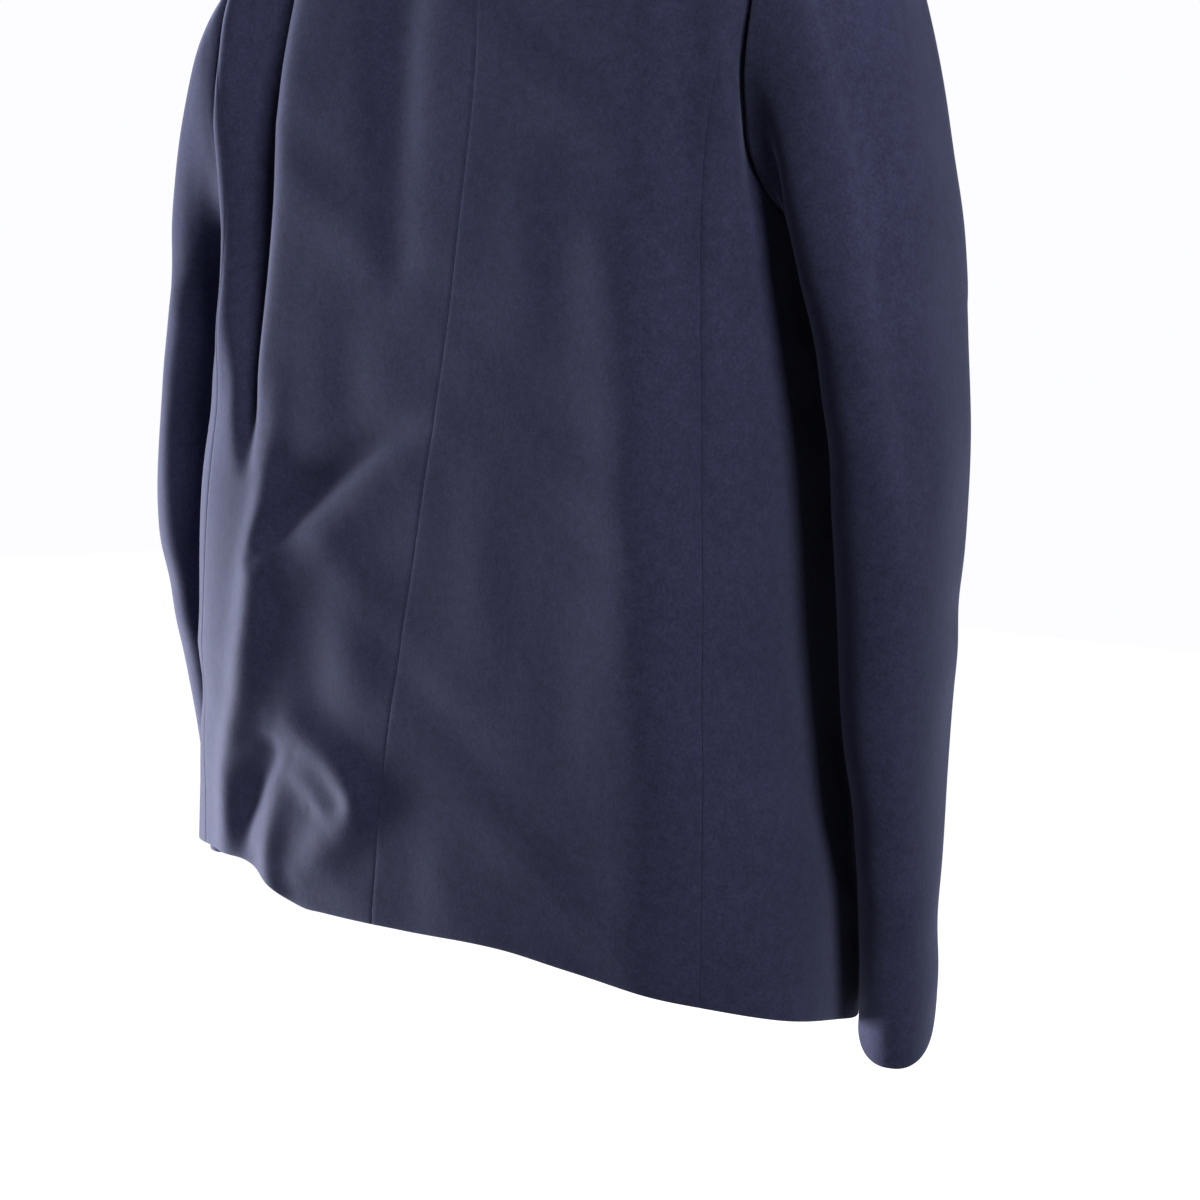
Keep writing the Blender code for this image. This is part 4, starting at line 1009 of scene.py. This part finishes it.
for number, height in enumerate(BUTTON_HEIGHTS, start=1):
    cloth, facing = right_front(np.pi, height)
    seat = cloth + BUTTON_SEAT * facing
    level = np.array([1.0, 0.0, 0.0])
    across = unit(np.cross(facing, level))
    profile = [(max(radius, BUTTON_TIP) * BUTTON_RADIUS, rise * BUTTON_THICKNESS)
               for radius, rise in BUTTON_PROFILE]
    points, faces = turned(profile, seat, facing, level, across, BUTTON_SIDES)
    button = placed(f"horn_button_{number}", points, faces, horn, "horn")
    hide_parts(f"button_{number}")

    # The four holes are drilled, and the thread runs over the face from hole to hole.
    runs = []
    for side in (-1, 1):
        for end in (-1, 1):
            hole = seat + HOLE_OFFSET * (side * across + end * level)
            points, faces = turned(((HOLE_RADIUS, BUTTON_FACE - HOLE_DEPTH),
                                    (HOLE_RADIUS, BUTTON_FACE + HOLE_DEPTH)),
                                   hole, facing, level, across, HOLE_SIDES)
            bit = bpy.data.meshes.new("drill bit")
            bit.from_pydata(points.tolist(), [], faces)
            drill = bpy.data.objects.new("drill", bit)
            bpy.context.scene.collection.objects.link(drill)
            cut = button.modifiers.new("hole", "BOOLEAN")
            cut.object, cut.operation, cut.solver = drill, "DIFFERENCE", "EXACT"
            drilled = button.evaluated_get(bpy.context.evaluated_depsgraph_get())
            drilled = bpy.data.meshes.new_from_object(drilled)
            button.modifiers.clear()
            button.data = drilled
            bpy.data.objects.remove(drill, do_unlink=True)
        for strand in (-1, 1):
            swing = np.linspace(0, np.pi, 13)[:, None]
            line = side * HOLE_OFFSET + strand * THREAD_RADIUS
            path = (seat + line * across - HOLE_OFFSET * np.cos(swing) * level
                    + (BUTTON_FACE + THREAD_RISE * np.sin(swing) ** 0.6 - THREAD_SINK) * facing)
            runs.append((path, across))
    placed(f"button_thread_{number}", *sewn(runs, THREAD_RADIUS, THREAD_SIDES), thread, "wool")

    # The buttonhole: a row of purl stitches along each lip, and a bar at its inner end.
    count = int((BUTTONHOLE[1] - BUTTONHOLE[0]) / PURL_STEP)
    places = np.linspace(*BUTTONHOLE, count)
    slit, out = right_front(turn_at(places, height, -1), height)
    along = unit(np.gradient(slit, axis=0))
    aside = np.cross(out, along)
    reach = np.linspace(0, 1, 6)[:, None]
    arch = PURL_RISE * np.sin(np.pi * (PURL_START + PURL_TURN * reach)) ** 0.5 - PURL_GAP
    runs = []
    for side in (-1, 1):
        for i in range(count):
            path = slit[i] + side * (PURL_GAP + PURL_REACH * reach) * aside[i] + arch * out[i]
            runs.append((path, along[i]))
    for i in BAR_THREADS:
        start = slit[0] - BAR_REACH * aside[0] + (i - 1.0) * PURL_RADIUS * 2 * along[0]
        path = start + 2 * BAR_REACH * reach * aside[0] + (arch + PURL_RADIUS) * out[0]
        runs.append((path, along[0]))
    placed(f"buttonhole_stitches_{number}", *sewn(runs, PURL_RADIUS, PURL_SIDES), thread, "wool")

# ==========================================================
# The studio: a pale floor far below the coat and a camera behind it, round to its right.  A
# low soft light stands at its left, a higher one behind its right shoulder, and two fainter
# ones at its right side and in front.
# ==========================================================
FLOOR_DROP, FLOOR_HALF = 1.45, 9
PALE = (0.98, 0.98, 1.0, 1)
floor_mesh = bpy.data.meshes.new("floor")
floor_mesh.from_pydata([(x * FLOOR_HALF, y * FLOOR_HALF, 0)
                        for x, y in ((-1, -1), (1, -1), (1, 1), (-1, 1))], [], [(0, 1, 2, 3)])
floor = bpy.data.objects.new("floor", floor_mesh)
floor.location.z = -FLOOR_DROP
bpy.context.scene.collection.objects.link(floor)
paper = bpy.data.materials.new("pale paper")
paper.use_nodes = True
sheet = paper.node_tree.nodes["Principled BSDF"]
set_inputs(sheet, Base_Color=(0.5, 0.5, 0.5, 1), Roughness=0.9, Emission_Color=PALE)
straight = paper.node_tree.nodes.new("ShaderNodeLightPath")
paper.node_tree.links.new(straight.outputs["Is Camera Ray"], sheet.inputs["Emission Strength"])
floor_mesh.materials.append(paper)

world = bpy.data.worlds.new("studio")
bpy.context.scene.world = world
world.use_nodes = True
nodes, links = world.node_tree.nodes, world.node_tree.links
sky = nodes["Background"]
set_inputs(sky, Color=(0.94, 0.95, 1.0, 1), Strength=0.035)
backdrop = nodes.new("ShaderNodeBackground")
set_inputs(backdrop, Color=PALE)
seen = nodes.new("ShaderNodeLightPath")
either = nodes.new("ShaderNodeMixShader")
links.new(seen.outputs["Is Camera Ray"], either.inputs["Fac"])
links.new(sky.outputs["Background"], either.inputs[1])
links.new(backdrop.outputs["Background"], either.inputs[2])
links.new(either.outputs["Shader"], nodes["World Output"].inputs["Surface"])
bpy.context.scene.view_settings.view_transform = "Standard"


def soft_light(name, place, aim, size, power):
    lamp = bpy.data.lights.new(name, "AREA")
    lamp.shape, lamp.size, lamp.energy = "DISK", size, power
    stand = bpy.data.objects.new(name, lamp)
    stand.location = place
    stand.rotation_euler = (Vector(aim) - Vector(place)).to_track_quat("-Z", "Y").to_euler()
    bpy.context.scene.collection.objects.link(stand)


soft_light("window", (1.20, 0.20, -0.85), (0.15, 0.0, -0.45), 0.5, 58.0)
soft_light("lamp", (-1.3, 0.95, 0.9), (-0.05, 0.0, -0.28), 0.6, 38.0)
soft_light("rim", (-1.7, -0.9, 0.2), (-0.2, 0.0, -0.35), 0.9, 5.0)
soft_light("fill", (0.5, -1.9, 0.5), (0.0, 0.0, -0.35), 1.0, 22.0)

camera_data = bpy.data.cameras.new("camera")
camera_data.lens, camera_data.sensor_width = 45.0, 36.0
camera = bpy.data.objects.new("camera", camera_data)
bpy.context.scene.collection.objects.link(camera)
CAMERA_PLACE = (-0.4842, 0.7456, -0.358)
CAMERA_HEADING, CAMERA_PITCH, CAMERA_ROLL = -150.0, 84.0, 3.0
camera.matrix_world = (Matrix.Translation(CAMERA_PLACE)
                       @ Matrix.Rotation(np.radians(CAMERA_HEADING), 4, "Z")
                       @ Matrix.Rotation(np.radians(CAMERA_PITCH), 4, "X")
                       @ Matrix.Rotation(np.radians(CAMERA_ROLL), 4, "Z"))
bpy.context.scene.camera = camera
